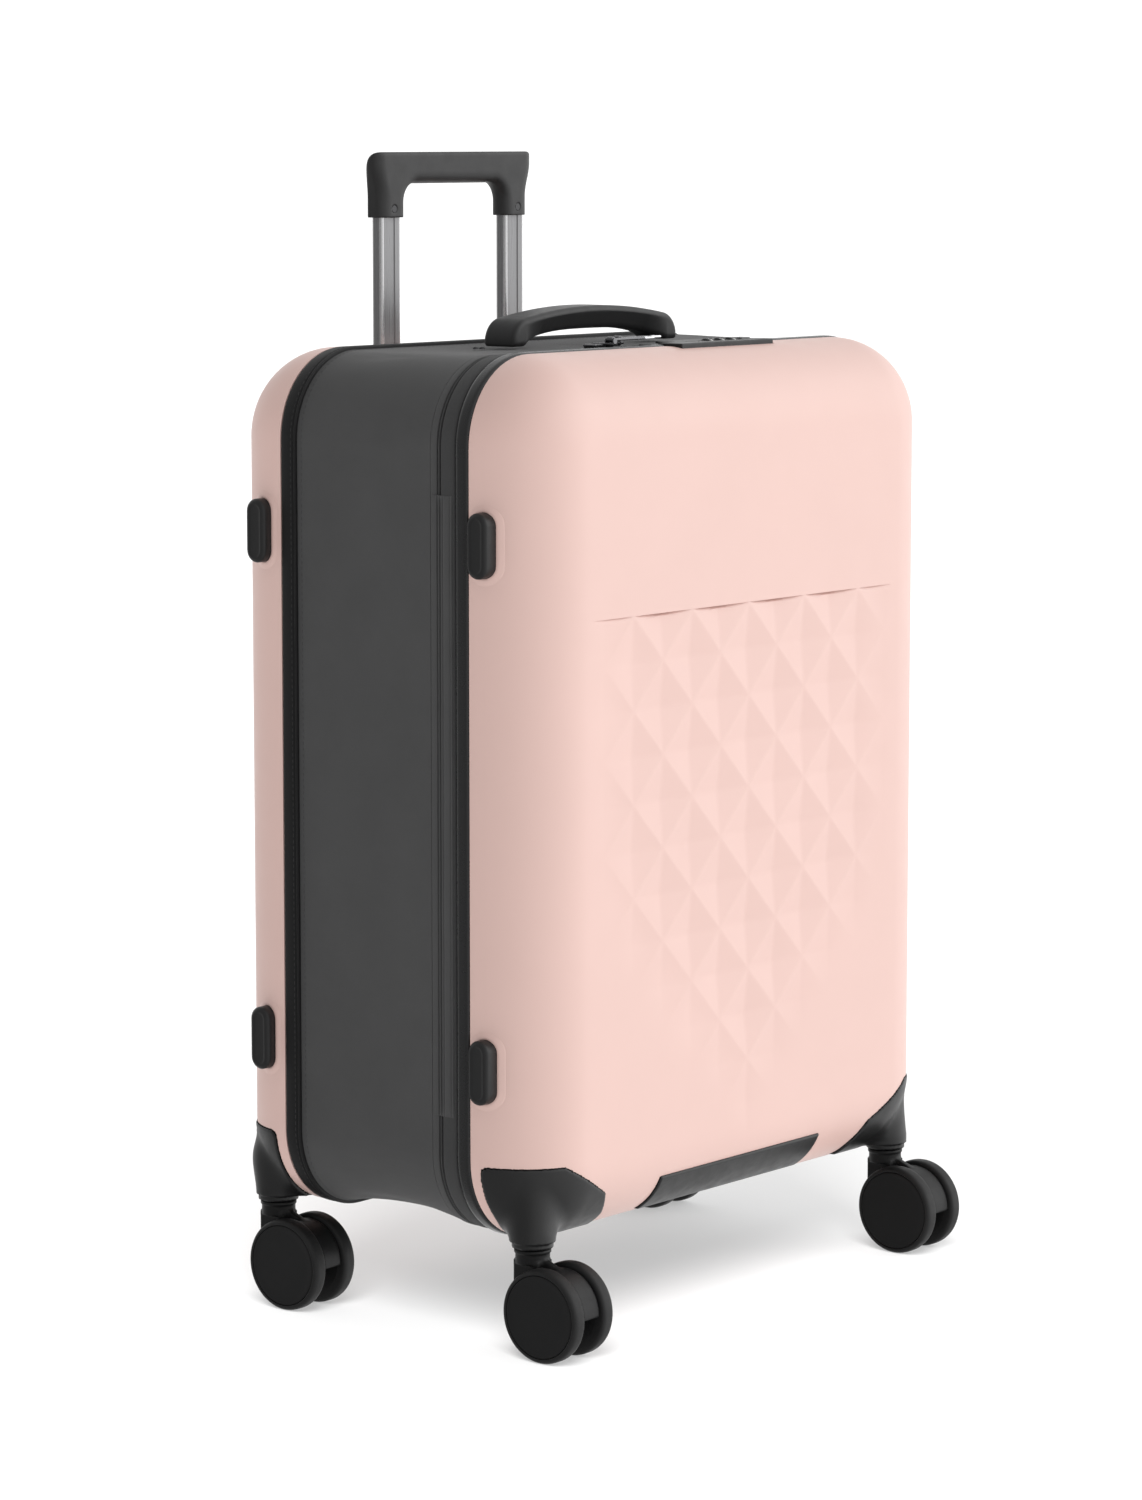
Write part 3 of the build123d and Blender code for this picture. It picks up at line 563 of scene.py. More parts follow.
def relief(x, z, depth):
    """Depth of the sunk four-sided pyramids under the top line: a square lattice set on its corner."""
    h = pitch / 2
    u = np.mod(x + (z - relief_top), pitch) / pitch
    v = np.mod(x - (z - relief_top), pitch) / pitch
    pyr = 2 * np.minimum(np.minimum(u, 1 - u), np.minimum(v, 1 - v))
    side = np.clip((174 - np.abs(x)) / 60.0, 0, 1)
    side = side * side * (3 - 2 * side) * (1 - 0.25 * (x / 174.0) ** 2)
    tip = 100.0 + 0.95 * np.abs(x)
    low = np.clip((z - tip) / 105.0, 0, 1)
    low = low * low * (3 - 2 * low)
    on = z <= relief_top + 1e-6
    # under the top line the edge is undercut in a slit that is widest between two corners of the lattice
    lens = 1 - np.abs(2 * np.mod(x / pitch, 1.0) - 1) ** 2.6
    slit = np.where(np.abs(z - relief_top) < 0.02, 0.62 * depth * lens * np.sqrt(side), 0.0)
    return np.where(on, depth * pyr * side * low + slit, 0.0)


def build_shell(front, nx, nz_lo, nz_hi, step, depth, mid_seg, notch):
    """Outer skin of one half as concentric loops over the rounded edge and a grid over the face."""
    face = front_face if front else back_face
    rim = front_rim if front else rear_rim
    sg = -1.0 if front else 1.0
    gx = step * np.arange(-nx, nx + 1)
    gz = relief_top + step * np.arange(-nz_lo, nz_hi + 1)
    fx = (gx - gx[0]) / (gx[-1] - gx[0])
    fz = (gz - gz[0]) / (gz[-1] - gz[0])
    sx = -straight_x + 2 * straight_x * fx
    sz = straight_lo + (straight_hi - straight_lo) * fz
    levels = [(0.0, rim)]
    ts = sorted(set([0.0] + list(np.linspace(0, 90, 31)) + list(notch.get("t", []))))
    for t in ts:
        c, s = math.cos(math.radians(t)), math.sin(math.radians(t))
        levels.append((edge_r * (1 - c), face - sg * edge_r * (1 - s)))
    loops, tcol = [], []
    arc_n = 16
    for d, y in levels:
        hw, r = half_w - d, corner_r - d
        lo, hi = z_low + d, z_high - d
        p = []
        for i in range(len(sx)):
            p.append((sx[i], hi))
        for a in np.linspace(90, 0, arc_n + 1)[1:-1]:
            p.append((straight_x + r * math.cos(math.radians(a)), straight_hi + r * math.sin(math.radians(a))))
        for i in range(len(sz))[::-1]:
            p.append((hw, sz[i]))
        for a in np.linspace(0, -90, arc_n + 1)[1:-1]:
            p.append((straight_x + r * math.cos(math.radians(a)), straight_lo + r * math.sin(math.radians(a))))
        for i in range(len(sx))[::-1]:
            p.append((sx[i], lo))
        for a in np.linspace(-90, -180, arc_n + 1)[1:-1]:
            p.append((-straight_x + r * math.cos(math.radians(a)), straight_lo + r * math.sin(math.radians(a))))
        for i in range(len(sz)):
            p.append((-hw, sz[i]))
        for a in np.linspace(180, 90, arc_n + 1)[1:-1]:
            p.append((-straight_x + r * math.cos(math.radians(a)), straight_hi + r * math.sin(math.radians(a))))
        p = np.array(p)
        loops.append(np.column_stack([p[:, 0], np.full(len(p), y), p[:, 1]]))
    m = len(loops[0])
    # the face grid, whose border takes the place of one last, square-cornered loop
    last = []
    for i in range(len(gx)):
        last.append((gx[i], gz[-1]))
    last += [(gx[-1], gz[-1])] * (arc_n - 1)
    for i in range(len(gz))[::-1]:
        last.append((gx[-1], gz[i]))
    last += [(gx[-1], gz[0])] * (arc_n - 1)
    for i in range(len(gx))[::-1]:
        last.append((gx[i], gz[0]))
    last += [(gx[0], gz[0])] * (arc_n - 1)
    for i in range(len(gz)):
        last.append((gx[0], gz[i]))
    last += [(gx[0], gz[-1])] * (arc_n - 1)
    last = np.array(last)
    loops.append(np.column_stack([last[:, 0], np.full(m, face), last[:, 1]]))
    v = np.vstack(loops)
    ring_n = len(loops)
    faces = []
    drop = notch.get("drop")
    for k in range(ring_n - 1):
        for i in range(m):
            j = (i + 1) % m
            a, b, c, d = k * m + i, k * m + j, (k + 1) * m + j, (k + 1) * m + i
            if drop is not None and drop(v[[a, b, c, d]].mean(0)):
                continue
            faces.append((a, b, c, d))
    base = len(v)
    GX, GZ = np.meshgrid(gx, gz, indexing="ij")
    grid = np.column_stack([GX.ravel(), np.full(GX.size, face), GZ.ravel()])
    nzv = len(gz)
    if depth > 2:
        grid.reshape(len(gx), nzv, 3)[1:-1, nz_lo + 1, 2] = relief_top + 0.05
    v = np.vstack([v, grid])
    dep = relief(v[:, 0], v[:, 2], depth) if depth else np.zeros(len(v))
    inner = np.clip((edge_r - np.minimum(half_w - np.abs(v[:, 0]), np.minimum(v[:, 2] - z_low, z_high - v[:, 2]))) / 12.0, 0, 1)
    dep = dep * (1 - inner)
    v[:, 1] -= sg * dep
    cx, cz = 0.5 * (gx[1:] + gx[:-1]), 0.5 * (gz[1:] + gz[:-1])
    mid = relief(*np.meshgrid(cx, cz, indexing="ij"), depth) if depth else None
    D = dep[base:].reshape(len(gx), nzv)
    for i in range(len(gx) - 1):
        for j in range(nzv - 1):
            a, b = base + i * nzv + j, base + (i + 1) * nzv + j
            c, d = b + 1, a + 1
            if depth and (D[i, j] or D[i + 1, j] or D[i, j + 1] or D[i + 1, j + 1]):
                e1 = abs(0.5 * (D[i, j] + D[i + 1, j + 1]) - mid[i, j])
                e2 = abs(0.5 * (D[i + 1, j] + D[i, j + 1]) - mid[i, j])
                if e1 <= e2:
                    faces += [(a, b, c), (a, c, d)]
                else:
                    faces += [(a, b, d), (b, c, d)]
            else:
                faces.append((a, b, c, d))
    return v, faces


def finish_shell(name, v, f, body, nodes):
    ob = add_mesh(name, v, f, M["shell_pink"], weld=0.002)
    # every face should look outward before the wall is given its thickness
    me = ob.data
    bm = bmesh.new()
    bm.from_mesh(me)
    loose = [x for x in bm.verts if not x.link_faces]
    bmesh.ops.delete(bm, geom=loose, context="VERTS")
    bmesh.ops.recalc_face_normals(bm, faces=bm.faces)
    probe = max(bm.faces, key=lambda p: p.calc_center_median().x)
    if probe.normal.x < 0:
        bmesh.ops.reverse_faces(bm, faces=bm.faces)
    bm.to_mesh(me)
    bm.free()
    sol = ob.modifiers.new("wall", "SOLIDIFY")
    sol.thickness = shell_t * MM
    sol.offset = -1.0
    sol.use_even_offset = False
    sol.use_rim = True
    apply_modifiers(ob)
    ob.data.shade_smooth()
    ob.data.set_sharp_from_angle(angle=math.radians(40))
    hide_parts(*nodes)
    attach(ob, body)
    return ob


lock_x0, lock_x1, lock_y = -20.5, 84.5, -82.5
t_lock = math.degrees(math.asin((front_face + edge_r - lock_y) / edge_r))


def drop_lock(c):
    return c[2] > 640 and lock_x0 < c[0] < lock_x1 and c[1] > lock_y


v, f = build_shell(True, 85, 181, 57, cell, 3.2, 0, {"t": [t_lock], "drop": drop_lock})
finish_shell("front_shell_skin", v, f, "front_lid", ["front_shell"])

seat_x, seat_y, seat_z = 95.0, 129.9, 619.0
t_seat0 = math.degrees(math.asin(1 - (back_face - seat_y) / edge_r))
t_seat1 = math.degrees(math.acos(1 - (z_high - seat_z) / edge_r))


def drop_seat(c):
    return abs(c[0]) < seat_x and c[1] > seat_y and c[2] > seat_z


v, f = build_shell(False, 53, 113, 36, 2 * cell * 0.8, 0.0, 0, {"t": [t_seat0, t_seat1], "drop": drop_seat})
finish_shell("rear_shell_skin", v, f, "rear_case", ["rear_shell"])

# ---------------------------------------------------------------- rings of the side wall
full = ring_path()
# black binding that sews the soft wall to the rear half: a flat band with a piped front edge
prof = rounded_profile(-7.0, 0.6, 84.0, 96.0, 2.2, crown=0.5)
v, f, uv = sweep(full, prof)
pile = Pile().add(v, f, uv)
prof = rounded_profile(-5.0, 0.8, 82.2, 84.2, 0.95, seg=5)
v, f, uv = sweep(full, prof)
pile.add(v, f, uv)
v, f, uv = pile.out()
add_mesh("rear_binding_band", v, f, M["binding_black"], "rear_case", ["rear_binding"], uvs=uv, sharp=50)

# satin band on the rim of the front half, open where the lock sits
open_top = ring_path(84.4, -20.4)
prof = rounded_profile(-7.0, 1.0, -69.4, -57.2, 3.6, seg=6, crown=0.3)
v, f, uv = sweep(open_top, prof)
add_mesh("front_band_satin", v, f, M["band_gloss"], "front_lid", ["front_band"], uvs=uv, sharp=50)

# zip tape on the lid: one flat band with a soft edge at each side
prof = np.array([(-4.2, -44.0), (-3.2, -44.1), (-1.6, -44.6), (-1.0, -45.1), (-0.85, -45.8), (-0.8, -48.0), (-0.8, -53.0), (-0.9, -55.4),
                 (-1.2, -56.3), (-2.2, -57.0), (-4.2, -57.0)])
v, f, uv = sweep(open_top, prof)
add_mesh("zip_tape_lid", v, f, M["zip_tape"], "front_lid", ["zip_flap"], uvs=uv, sharp=40)

# zip tape on the soft wall's frame: level with the cloth, with a sewn groove behind its edge bead
prof = np.array([(-7.5, -35.5), (-1.5, -35.5), (-1.35, -36.3), (-1.25, -38.5), (-1.25, -40.4), (-1.4, -40.8), (-2.9, -41.1),
                 (-2.9, -41.9), (-1.6, -42.2), (-1.3, -42.5), (-1.5, -42.9), (-3.2, -43.3), (-7.5, -43.3)])
v, f, uv = sweep(full, prof)
add_mesh("zip_tape_frame", v, f, M["gusset_fabric"], "front_frame", ["zip_frame"], uvs=uv, sharp=40)


def teeth(name, x0, x1, y, o, pitch_t, size, body, skip=None):
    """Zip teeth: small rounded blocks set along the outline."""
    pts, nrm, s, closed, total = ring_path(x0, x1, ds=pitch_t, da=2.0)
    n = int(total / pitch_t)
    at = (np.arange(n) + 0.5) * total / n
    ss = np.r_[s, total] if closed else s
    pp = np.vstack([pts, pts[:1]]) if closed else pts
    nn = np.vstack([nrm, nrm[:1]]) if closed else nrm
    px, pz = np.interp(at, ss, pp[:, 0]), np.interp(at, ss, pp[:, 1])
    qx, qz = np.interp(at, ss, nn[:, 0]), np.interp(at, ss, nn[:, 1])
    L, H, W = size
    unit = np.array([(a, b, c) for a in (-1, 1) for b in (-1, 1) for c in (0, 1)], float)
    quads = [(0, 1, 3, 2), (4, 6, 7, 5), (0, 4, 5, 1), (2, 3, 7, 6), (0, 2, 6, 4), (1, 5, 7, 3)]
    p = Pile()
    for i in range(n):
        if skip is not None and skip(px[i], pz[i]):
            continue
        n2 = np.array([qx[i], qz[i]]) / math.hypot(qx[i], qz[i])
        t2 = np.array([n2[1], -n2[0]])
        taper = np.where(unit[:, 2] > 0, 0.62, 1.0)
        along = unit[:, 0] * L / 2 * taper
        out = o + (unit[:, 2] - 0.5) * H
        yy = y + unit[:, 1] * W / 2 * np.where(unit[:, 2] > 0, 0.8, 1.0)
        xz = np.array([px[i], pz[i]]) + along[:, None] * t2 + out[:, None] * n2
        p.add(np.column_stack([xz[:, 0], yy, xz[:, 1]]), quads)
    v, f, uv = p.out()
    return add_mesh(name, v, f, M["zip_teeth"], body, smooth=False)


def under_strip(x, z):
    return x < -200 and 155 < z < 571


teeth("zip_teeth_lid", 84.4, -20.4, -44.25, -3.6, 2.0, (1.25, 0.9, 1.5), "front_lid", under_strip)
teeth("zip_teeth_frame", 0.0, 0.0, -43.05, -3.6, 2.0, (1.25, 0.9, 1.5), "front_frame", under_strip)

# soft wall between the halves: a sewn tube of cloth that pulls in between its two hems, most along the floor side
g0, g1 = -35.2, 82.1
path = ring_path(ds=6.0, da=2.5)
pts, nrm, s, closed, total = path
ny = 48
yy = np.linspace(g0, g1, ny)
u = (yy - g0) / (g1 - g0)
rng = np.random.default_rng(7)


def pull_in(px, pz, nx, nz, u):
    """How far the cloth hangs inside the outline, mm."""
    belly = np.sin(np.pi * np.clip(u, 0, 1)) ** 0.8
    down = np.clip(-nz, 0, 1) ** 2
    up = np.clip(nz, 0, 1) ** 2
    sidew = np.clip(np.abs(nx), 0, 1) ** 2
    amp = 7.2 * down + 0.9 * up + 1.6 * sidew
    return amp * belly


N, K = len(pts), ny
U = np.repeat(u[None], N, 0)
PX, PZ = np.repeat(pts[:, :1], K, 1), np.repeat(pts[:, 1:], K, 1)
NX, NZ = np.repeat(nrm[:, :1], K, 1), np.repeat(nrm[:, 1:], K, 1)
SS = np.repeat(s[:, None], K, 1)
out = -1.5 - pull_in(PX, PZ, NX, NZ, U)
# slack near the corners: short soft folds that run across the wall and die out
fold = np.zeros_like(out)
for cxs, czs in ((-straight_x, straight_hi), (straight_x, straight_hi), (-straight_x, straight_lo), (straight_x, straight_lo)):
    for _ in range(7):
        a0 = rng.uniform(0, 1)
        pos_s = None
        ang = math.atan2(np.sign(czs - z_mid), np.sign(cxs)) + rng.uniform(-1.0, 1.0)
        tx, tz = cxs + corner_r * math.cos(ang), czs + corner_r * math.sin(ang)
        i0 = int(np.argmin((pts[:, 0] - tx) ** 2 + (pts[:, 1] - tz) ** 2))
        ds = np.abs(SS - s[i0])
        ds = np.minimum(ds, total - ds)
        skew = rng.uniform(-25, 25)
        wid = rng.uniform(5, 11)
        cen = rng.uniform(0.25, 0.8)
        fold += rng.uniform(-0.55, 0.35) * np.exp(-((ds + skew * (U - cen)) / wid) ** 2) * np.exp(-((U - cen) / 0.22) ** 2)
wave = 0.25 * np.sin(SS / 41.0 + 5.0 * U) * np.sin(np.pi * U) + 0.18 * np.sin(SS / 17.0 - 9.0 * U) * np.sin(np.pi * U)
out += (1.5 * fold + wave) * np.clip(4 * U, 0, 1) * np.clip(4 * (1 - U), 0, 1)
# sewn channel beside the rear hem
for uc in (0.972,):
    out -= 0.5 * np.exp(-((U - uc) / 0.008) ** 2)
outer = np.stack([out, np.repeat(yy[None], N, 0)], -1)
inner = np.stack([out - 1.8, np.repeat(yy[None], N, 0)], -1)[:, ::-1]
v, f, uv = sweep(path, np.concatenate([outer, inner], 1))
gus = add_mesh("gusset_cloth", v, f, M["gusset_fabric"], "rear_case", ["gusset"], uvs=uv, sharp=60)
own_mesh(gus)


def stitches(name, y, off, length, gap, body, x0=0.0, x1=0.0, out_fn=None, r=0.28):
    """A row of sewn stitches along the outline: short rounded dashes that dip at both ends."""
    pts, nrm, s, closed, total = ring_path(x0, x1, ds=4.0, da=2.0)
    ss = np.r_[s, total] if closed else s
    pp = np.vstack([pts, pts[:1]]) if closed else pts
    nn = np.vstack([nrm, nrm[:1]]) if closed else nrm
    n = int(total / (length + gap))
    step_s = total / n
    p = Pile()
    ring = [(math.cos(a), math.sin(a)) for a in np.linspace(0, 2 * math.pi, 5)[:-1]]
    for i in range(n):
        at = i * step_s + np.array([0, 0.25, 0.75, 1.0]) * length
        px, pz = np.interp(at, ss, pp[:, 0]), np.interp(at, ss, pp[:, 1])
        qx, qz = np.interp(at, ss, nn[:, 0]), np.interp(at, ss, nn[:, 1])
        lift = off + np.array([-0.35, 0.0, 0.0, -0.35])
        if out_fn is not None:
            lift = lift + out_fn(px, pz, qx, qz)
        rows = []
        for k in range(4):
            for a, b in ring:
                o = lift[k] + a * r
                rows.append((px[k] + qx[k] * o, y + b * r, pz[k] + qz[k] * o))
        fs = []
        for k in range(3):
            for a in range(4):
                b = (a + 1) % 4
                fs.append((k * 4 + a, k * 4 + b, k * 4 + 4 + b, k * 4 + 4 + a))
        fs += [(3, 2, 1, 0), (12, 13, 14, 15)]
        p.add(rows, fs)
    v, f, uv = p.out()
    return add_mesh(name, v, f, M["thread_dark"], body, sharp=70)


for nm, uc in (("gusset_stitch_rear", 0.972),):
    y = g0 + uc * (g1 - g0)
    ob = stitches(nm, y, -1.75, 3.0, 1.2, "rear_case",
                  out_fn=lambda a, b, c, d, q=uc: -pull_in(a, b, c, d, np.full(np.shape(a), q)))
    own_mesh(ob)
stitches("binding_stitch", 86.3, 0.45, 3.0, 1.2, "rear_case")

# hinge strip sewn over the zip's closed length, down the left side
zz = np.linspace(157.0, 569.0, 104)
knots = [(-54.8, -0.5), (-54.6, 0.2), (-54.3, 0.62), (-53.9, 0.72), (-53.5, 0.66), (-53.2, 0.25), (-52.8, 0.25), (-52.5, 0.62), (-51.0, 0.74),
         (-49.9, 0.76), (-48.6, 0.74), (-47.3, 0.64), (-47.0, 0.25), (-46.6, 0.25), (-46.3, 0.66), (-45.8, 0.72), (-45.2, 0.62), (-44.9, 0.1),
         (-44.6, -0.9), (-43.7, -0.9), (-43.4, 0.0), (-43.0, 0.22), (-42.6, 0.0), (-42.3, -0.9), (-41.3, -0.9), (-41.0, -0.05), (-40.4, 0.1),
         (-39.0, 0.08), (-37.5, 0.04), (-36.2, -0.15)]
ys = np.array([k[0] for k in knots])
Zg, Yg = np.meshgrid(zz, ys, indexing="ij")
# height over the zip: a panel on the lid side with a sewn border, then a double groove along the fold, then a thin flap
# that lies level with the soft wall
crown = np.array([k[1] for k in knots])
ends = np.exp(-(Zg - 157) / 1.5) + np.exp(-(569 - Zg) / 1.5)
Xo = -227.25 - np.repeat(crown[None], len(zz), 0) * (1 - 0.8 * ends) - 0.05 * np.sin(Zg / 9.0)
outer = np.stack([Xo, Yg, Zg], -1).reshape(-1, 3)
innr = np.stack([Xo * 0 - 225.6, Yg, Zg], -1).reshape(-1, 3)
v = np.vstack([outer, innr])
f, a, b, o = [], len(zz), len(ys), len(outer)
for i in range(a - 1):
    for j in range(b - 1):
        q = (i * b + j, i * b + j + 1, (i + 1) * b + j + 1, (i + 1) * b + j)
        f.append(q)
        f.append(tuple(o + k for k in reversed(q)))
for i in range(a - 1):
    for j in (0, b - 1):
        f.append((i * b + j, (i + 1) * b + j, o + (i + 1) * b + j, o + i * b + j))
for j in range(b - 1):
    for i in (0, a - 1):
        f.append((i * b + j, i * b + j + 1, o + i * b + j + 1, o + i * b + j))
uv = np.vstack([np.column_stack([Zg.ravel(), Yg.ravel()])] * 2) * MM
hs = add_mesh("hinge_strip_cloth", v, f, M["gusset_fabric"], None, ["hinge_strip"], uvs=uv, sharp=50)
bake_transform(hs)


# ---------------------------------------------------------------- side feet
def side_x(y, z, front):
    """The shell's left surface at (y, z), by stepping inward until the form is met."""
    x = np.full(np.shape(y), -260.0)
    for _ in range(40):
        x = x + d_shell(x, y, z, front)
    return x


def stadium(n_arc, half_len, r):
    """Closed stadium outline in (z, y), counter-clockwise, with its straight sides upright."""
    p = []
    for a in np.linspace(0, 180, n_arc):
        p.append((half_len - r + r * math.sin(math.radians(a)), r * math.cos(math.radians(a))))
    for a in np.linspace(180, 360, n_arc):
        p.append((-(half_len - r) + r * math.sin(math.radians(a)), r * math.cos(math.radians(a))))
    return np.array(p)


def loft(loops, cap_start=True, cap_end=True):
    n = len(loops[0])
    v = np.vstack(loops)
    f = []
    for k in range(len(loops) - 1):
        for i in range(n):
            j = (i + 1) % n
            f.append((k * n + i, k * n + j, (k + 1) * n + j, (k + 1) * n + i))
    if cap_start:
        f.append(tuple(range(n))[::-1])
    if cap_end:
        f.append(tuple((len(loops) - 1) * n + i for i in range(n)))
    return v, f


for front, yc, body, node in ((True, -81.6, "front_lid", "front_side_feet"), (False, 112.9, "rear_case", "rear_side_feet")):
    pads, beads = Pile(), Pile()
    for zc in (191.6, 538.1):
        loops = []
        for inset, x in ((0.5, -224.0), (0.0, -228.6), (0.0, -233.6), (0.35, -234.4), (1.0, -235.1), (2.1, -235.8),
                         (2.8, -236.0), (3.4, -236.0), (4.2, -235.6), (5.2, -235.55)):
            st = stadium(14, 21.55 - inset, 8.5 - inset)
            xx = x
            if x > -229:
                xx = side_x(st[:, 1] + yc, st[:, 0] + zc, front) + (1.5 if x > -226 else -0.2)
            loops.append(np.column_stack([np.broadcast_to(xx, len(st)), st[:, 1] + yc, st[:, 0] + zc]))
        pads.add(*loft(loops))
        loops = []
        for grow, proud in ((-0.6, -1.2), (0.1, 0.9), (0.7, 1.05), (1.6, 1.0), (2.8, 0.62), (4.2, 0.18), (5.6, -0.12), (5.6, -1.2)):
            st = stadium(18, 21.55 + grow, 8.5 + grow)
            yy = np.minimum(st[:, 1] + yc, -70.0) if front else st[:, 1] + yc
            xx = side_x(yy, st[:, 0] + zc, front) - proud
            loops.append(np.column_stack([xx, yy, st[:, 0] + zc]))
        v, f = loft(loops, False, False)
        n = len(loops[0])
        for i in range(n):
            j = (i + 1) % n
            f.append((i, (len(loops) - 1) * n + i, (len(loops) - 1) * n + j, j))
        beads.add(v, f)
    v, f, _ = pads.out()
    add_mesh(node + "_pads", v, f, M["trim_black"], body, [node], sharp=45, weld=0.002)
    v, f, _ = beads.out()
    add_mesh(node + "_rims", v, f, M["shell_pink"], body, sharp=60, weld=0.002)


# ---------------------------------------------------------------- wheel housings and kick plate
stem_x, stem_front, stem_rear = 200.9, -100.2, 128.0


def housing(front):
    """One lower corner's housing on the +X side: a skin over the shell's corner that flares down into the collar."""
    sy = stem_front if front else stem_rear
    edge = -78.0 if front else 105.8
    inset = np.array([(259, 123.5), (193.9, 123.5), (152.2, 99.8), (144.2, 85.2), (141.4, 63), (259, 63)], float)

    def fn(x, y, z):
        s = d_shell(x, y, z, front)
        flat = d_poly(x, z, inset) - 3.0
        flat = s_max(flat, (y - edge) if front else (edge - y), 6.0)
        up = np.clip((z - 82.0) / 32.0, 0, 1)
        up = up * up * (3 - 2 * up)
        skin = s_max(s - (1.7 - 0.7 * up), flat, 1.0)
        lip = np.maximum(s - 0.28, flat - 1.15)
        rr = np.hypot(x - stem_x, y - sy)
        taper = 15.4 - 3.8 * np.clip((z - 82.0) / 34.0, 0, 1)
        if not front:
            # the rear ones are fuller at the corner
            u = np.clip((z - 77.0) / 42.0, 0, 1)
            taper = 15.4 - 3.0 * u ** 4 + 2.7 * np.sin(math.pi * u ** 1.5)
        boss = np.maximum(np.maximum((rr - taper), 76.2 - z), z - 118.0)
        body = s_min(skin, boss, 5.0 + 8.0 * (1 - up))
        body = np.maximum(np.minimum(body, lip), 76.2 - z)
        body = np.maximum(body, -(s + 1.6))
        foot = np.maximum(rr - 13.9, np.maximum(72.4 - z, z - 78.0))
        return np.minimum(body, foot)

    lo = (132, -131, 71) if front else (132, 96, 71)
    hi = (233, -70, 130) if front else (233, 158, 130)
    w, q = surface(fn, lo, hi, 1.15)
    # lip faces round the skin's flat edge, later drawn near-black: painted shade in the gap to the shell
    mid = w[q].mean(1)
    flat = d_poly(mid[:, 0], mid[:, 2], inset) - 3.0
    flat = s_max(flat, (mid[:, 1] - edge) if front else (edge - mid[:, 1]), 6.0)
    low = d_shell(*mid.T, front) < 0.55
    return w, q, ((flat > 0.05) & low).astype(int)


for front in (True, False):
    v, q, shadow_seam = housing(front)
    for side, sgn in (("right", 1), ("left", -1)):
        w = v.copy()
        w[:, 0] *= sgn
        pre = "front" if front else "rear"
        add_mesh(f"{pre}_{side}_housing_skin", w, q, M["trim_black"], "front_lid" if front else "rear_case",
                 [f"{pre}_{side}_housing"], mats=[M["trim_black"], M["gap_shadow_black"]], face_mat=shadow_seam)


def kick(x, y, z):
    s = d_shell(x, y, z, True)
    flat = np.maximum(np.abs(x) - 90.0, np.maximum(z - 103.0, y + 99.0))
    skin = s_max(s - 1.5, flat, 1.0)
    lip = np.maximum(s - 0.28, np.maximum(np.abs(x) - 91.1, np.maximum(z - 104.1, y + 98.2)))
    return np.maximum(np.minimum(skin, lip), -(s + 1.5))


v, q = surface(kick, (-94, -128.5, 71), (94, -95, 107), 1.2)
mid = v[q].mean(1)
# lip faces round the plate's edge, drawn near-black: painted shade in the gap to the shell
shadow_seam = ((np.abs(mid[:, 0]) > 90.05) | (mid[:, 2] > 103.05)) & (d_shell(*mid.T, True) < 0.55)
add_mesh("kick_plate_skin", v, q, M["trim_black"], "front_lid", ["kick_plate"],
         mats=[M["trim_black"], M["gap_shadow_black"]], face_mat=shadow_seam.astype(int))


# ---------------------------------------------------------------- casters
def lathe(profile, seg=72):
    """A profile of (radius, height) turned about the X axis: closed at both ends where the radius is zero."""
    p = np.asarray(profile, float)
    a = np.linspace(0, 2 * np.pi, seg + 1)[:-1]
    v, f = [], []
    ring = []
    for r, h in p:
        if r < 1e-6:
            ring.append([len(v)])
            v.append((h, 0.0, 0.0))
        else:
            ring.append(list(range(len(v), len(v) + seg)))
            v += [(h, r * math.cos(t), r * math.sin(t)) for t in a]
    for k in range(len(ring) - 1):
        A, B = ring[k], ring[k + 1]
        for i in range(seg):
            j = (i + 1) % seg
            if len(A) == 1:
                f.append((A[0], B[j], B[i]))
            elif len(B) == 1:
                f.append((A[i], A[j], B[0]))
            else:
                f.append((A[i], A[j], B[j], B[i]))
    if len(ring[0]) > 1 and len(ring[-1]) > 1:
        A, B = ring[-1], ring[0]
        for i in range(seg):
            j = (i + 1) % seg
            f.append((A[i], A[j], B[j], B[i]))
    return np.array(v), f


def fork(x, y, z):
    """Fork about its stem at (0, 0): neck, ribbed shoulder, and a hood between the wheels that ends at axle height."""
    ax, az = -21.7, 31.5
    rr = np.hypot(y - ax, z - az)
    neck = np.maximum(np.hypot(x, y) - 11.6, np.maximum(61.6 - z, z - 71.7))
    bead = np.maximum(np.hypot(x, y) - 12.4, np.maximum(69.2 - z, z - 71.4))
    hood2 = np.maximum(rr - 28.6, 23.2 - rr)
    hood2 = np.maximum(hood2, np.where(y < ax, az - 0.5 - z, -50.0))
    hood2 = np.maximum(hood2, np.where(y >= ax, (az + 4.0) - z, -50.0))
    hood = d_extrude(hood2, x, 8.6, 1.2)
    post2 = np.maximum(np.abs(y) - 10.4, np.maximum(36.0 - z, z - 64.0))
    post2 = np.maximum(post2, -((y + 12.5) * 0.0 + z - 34))
    post = d_extrude(post2, x, 8.5, 2.0)
    hub = np.maximum(rr - 9.0, np.abs(x) - 8.55)
    arm2 = d_poly(y, z, [(-30.0, 30.0), (-14.0, 26.0), (9.5, 42.0), (10.2, 62.0), (-9.0, 62.0), (-20.0, 50.0)])
    arm = d_extrude(arm2, x, 5.0, 2.0)
    rib2 = d_poly(y, z, [(-5.0, 69.0), (-13.0, 64.5), (-26.5, 59.2), (-22.0, 56.0), (-5.0, 58.0)])
    rib = d_extrude(rib2, x, 2.4, 0.8)
    d = s_min(hood, post, 3.0)
    d = s_min(d, s_min(neck, bead, 0.8), 1.6)
    d = np.minimum(d, arm)
    d = np.minimum(d, hub)
    return s_min(d, rib, 1.5)


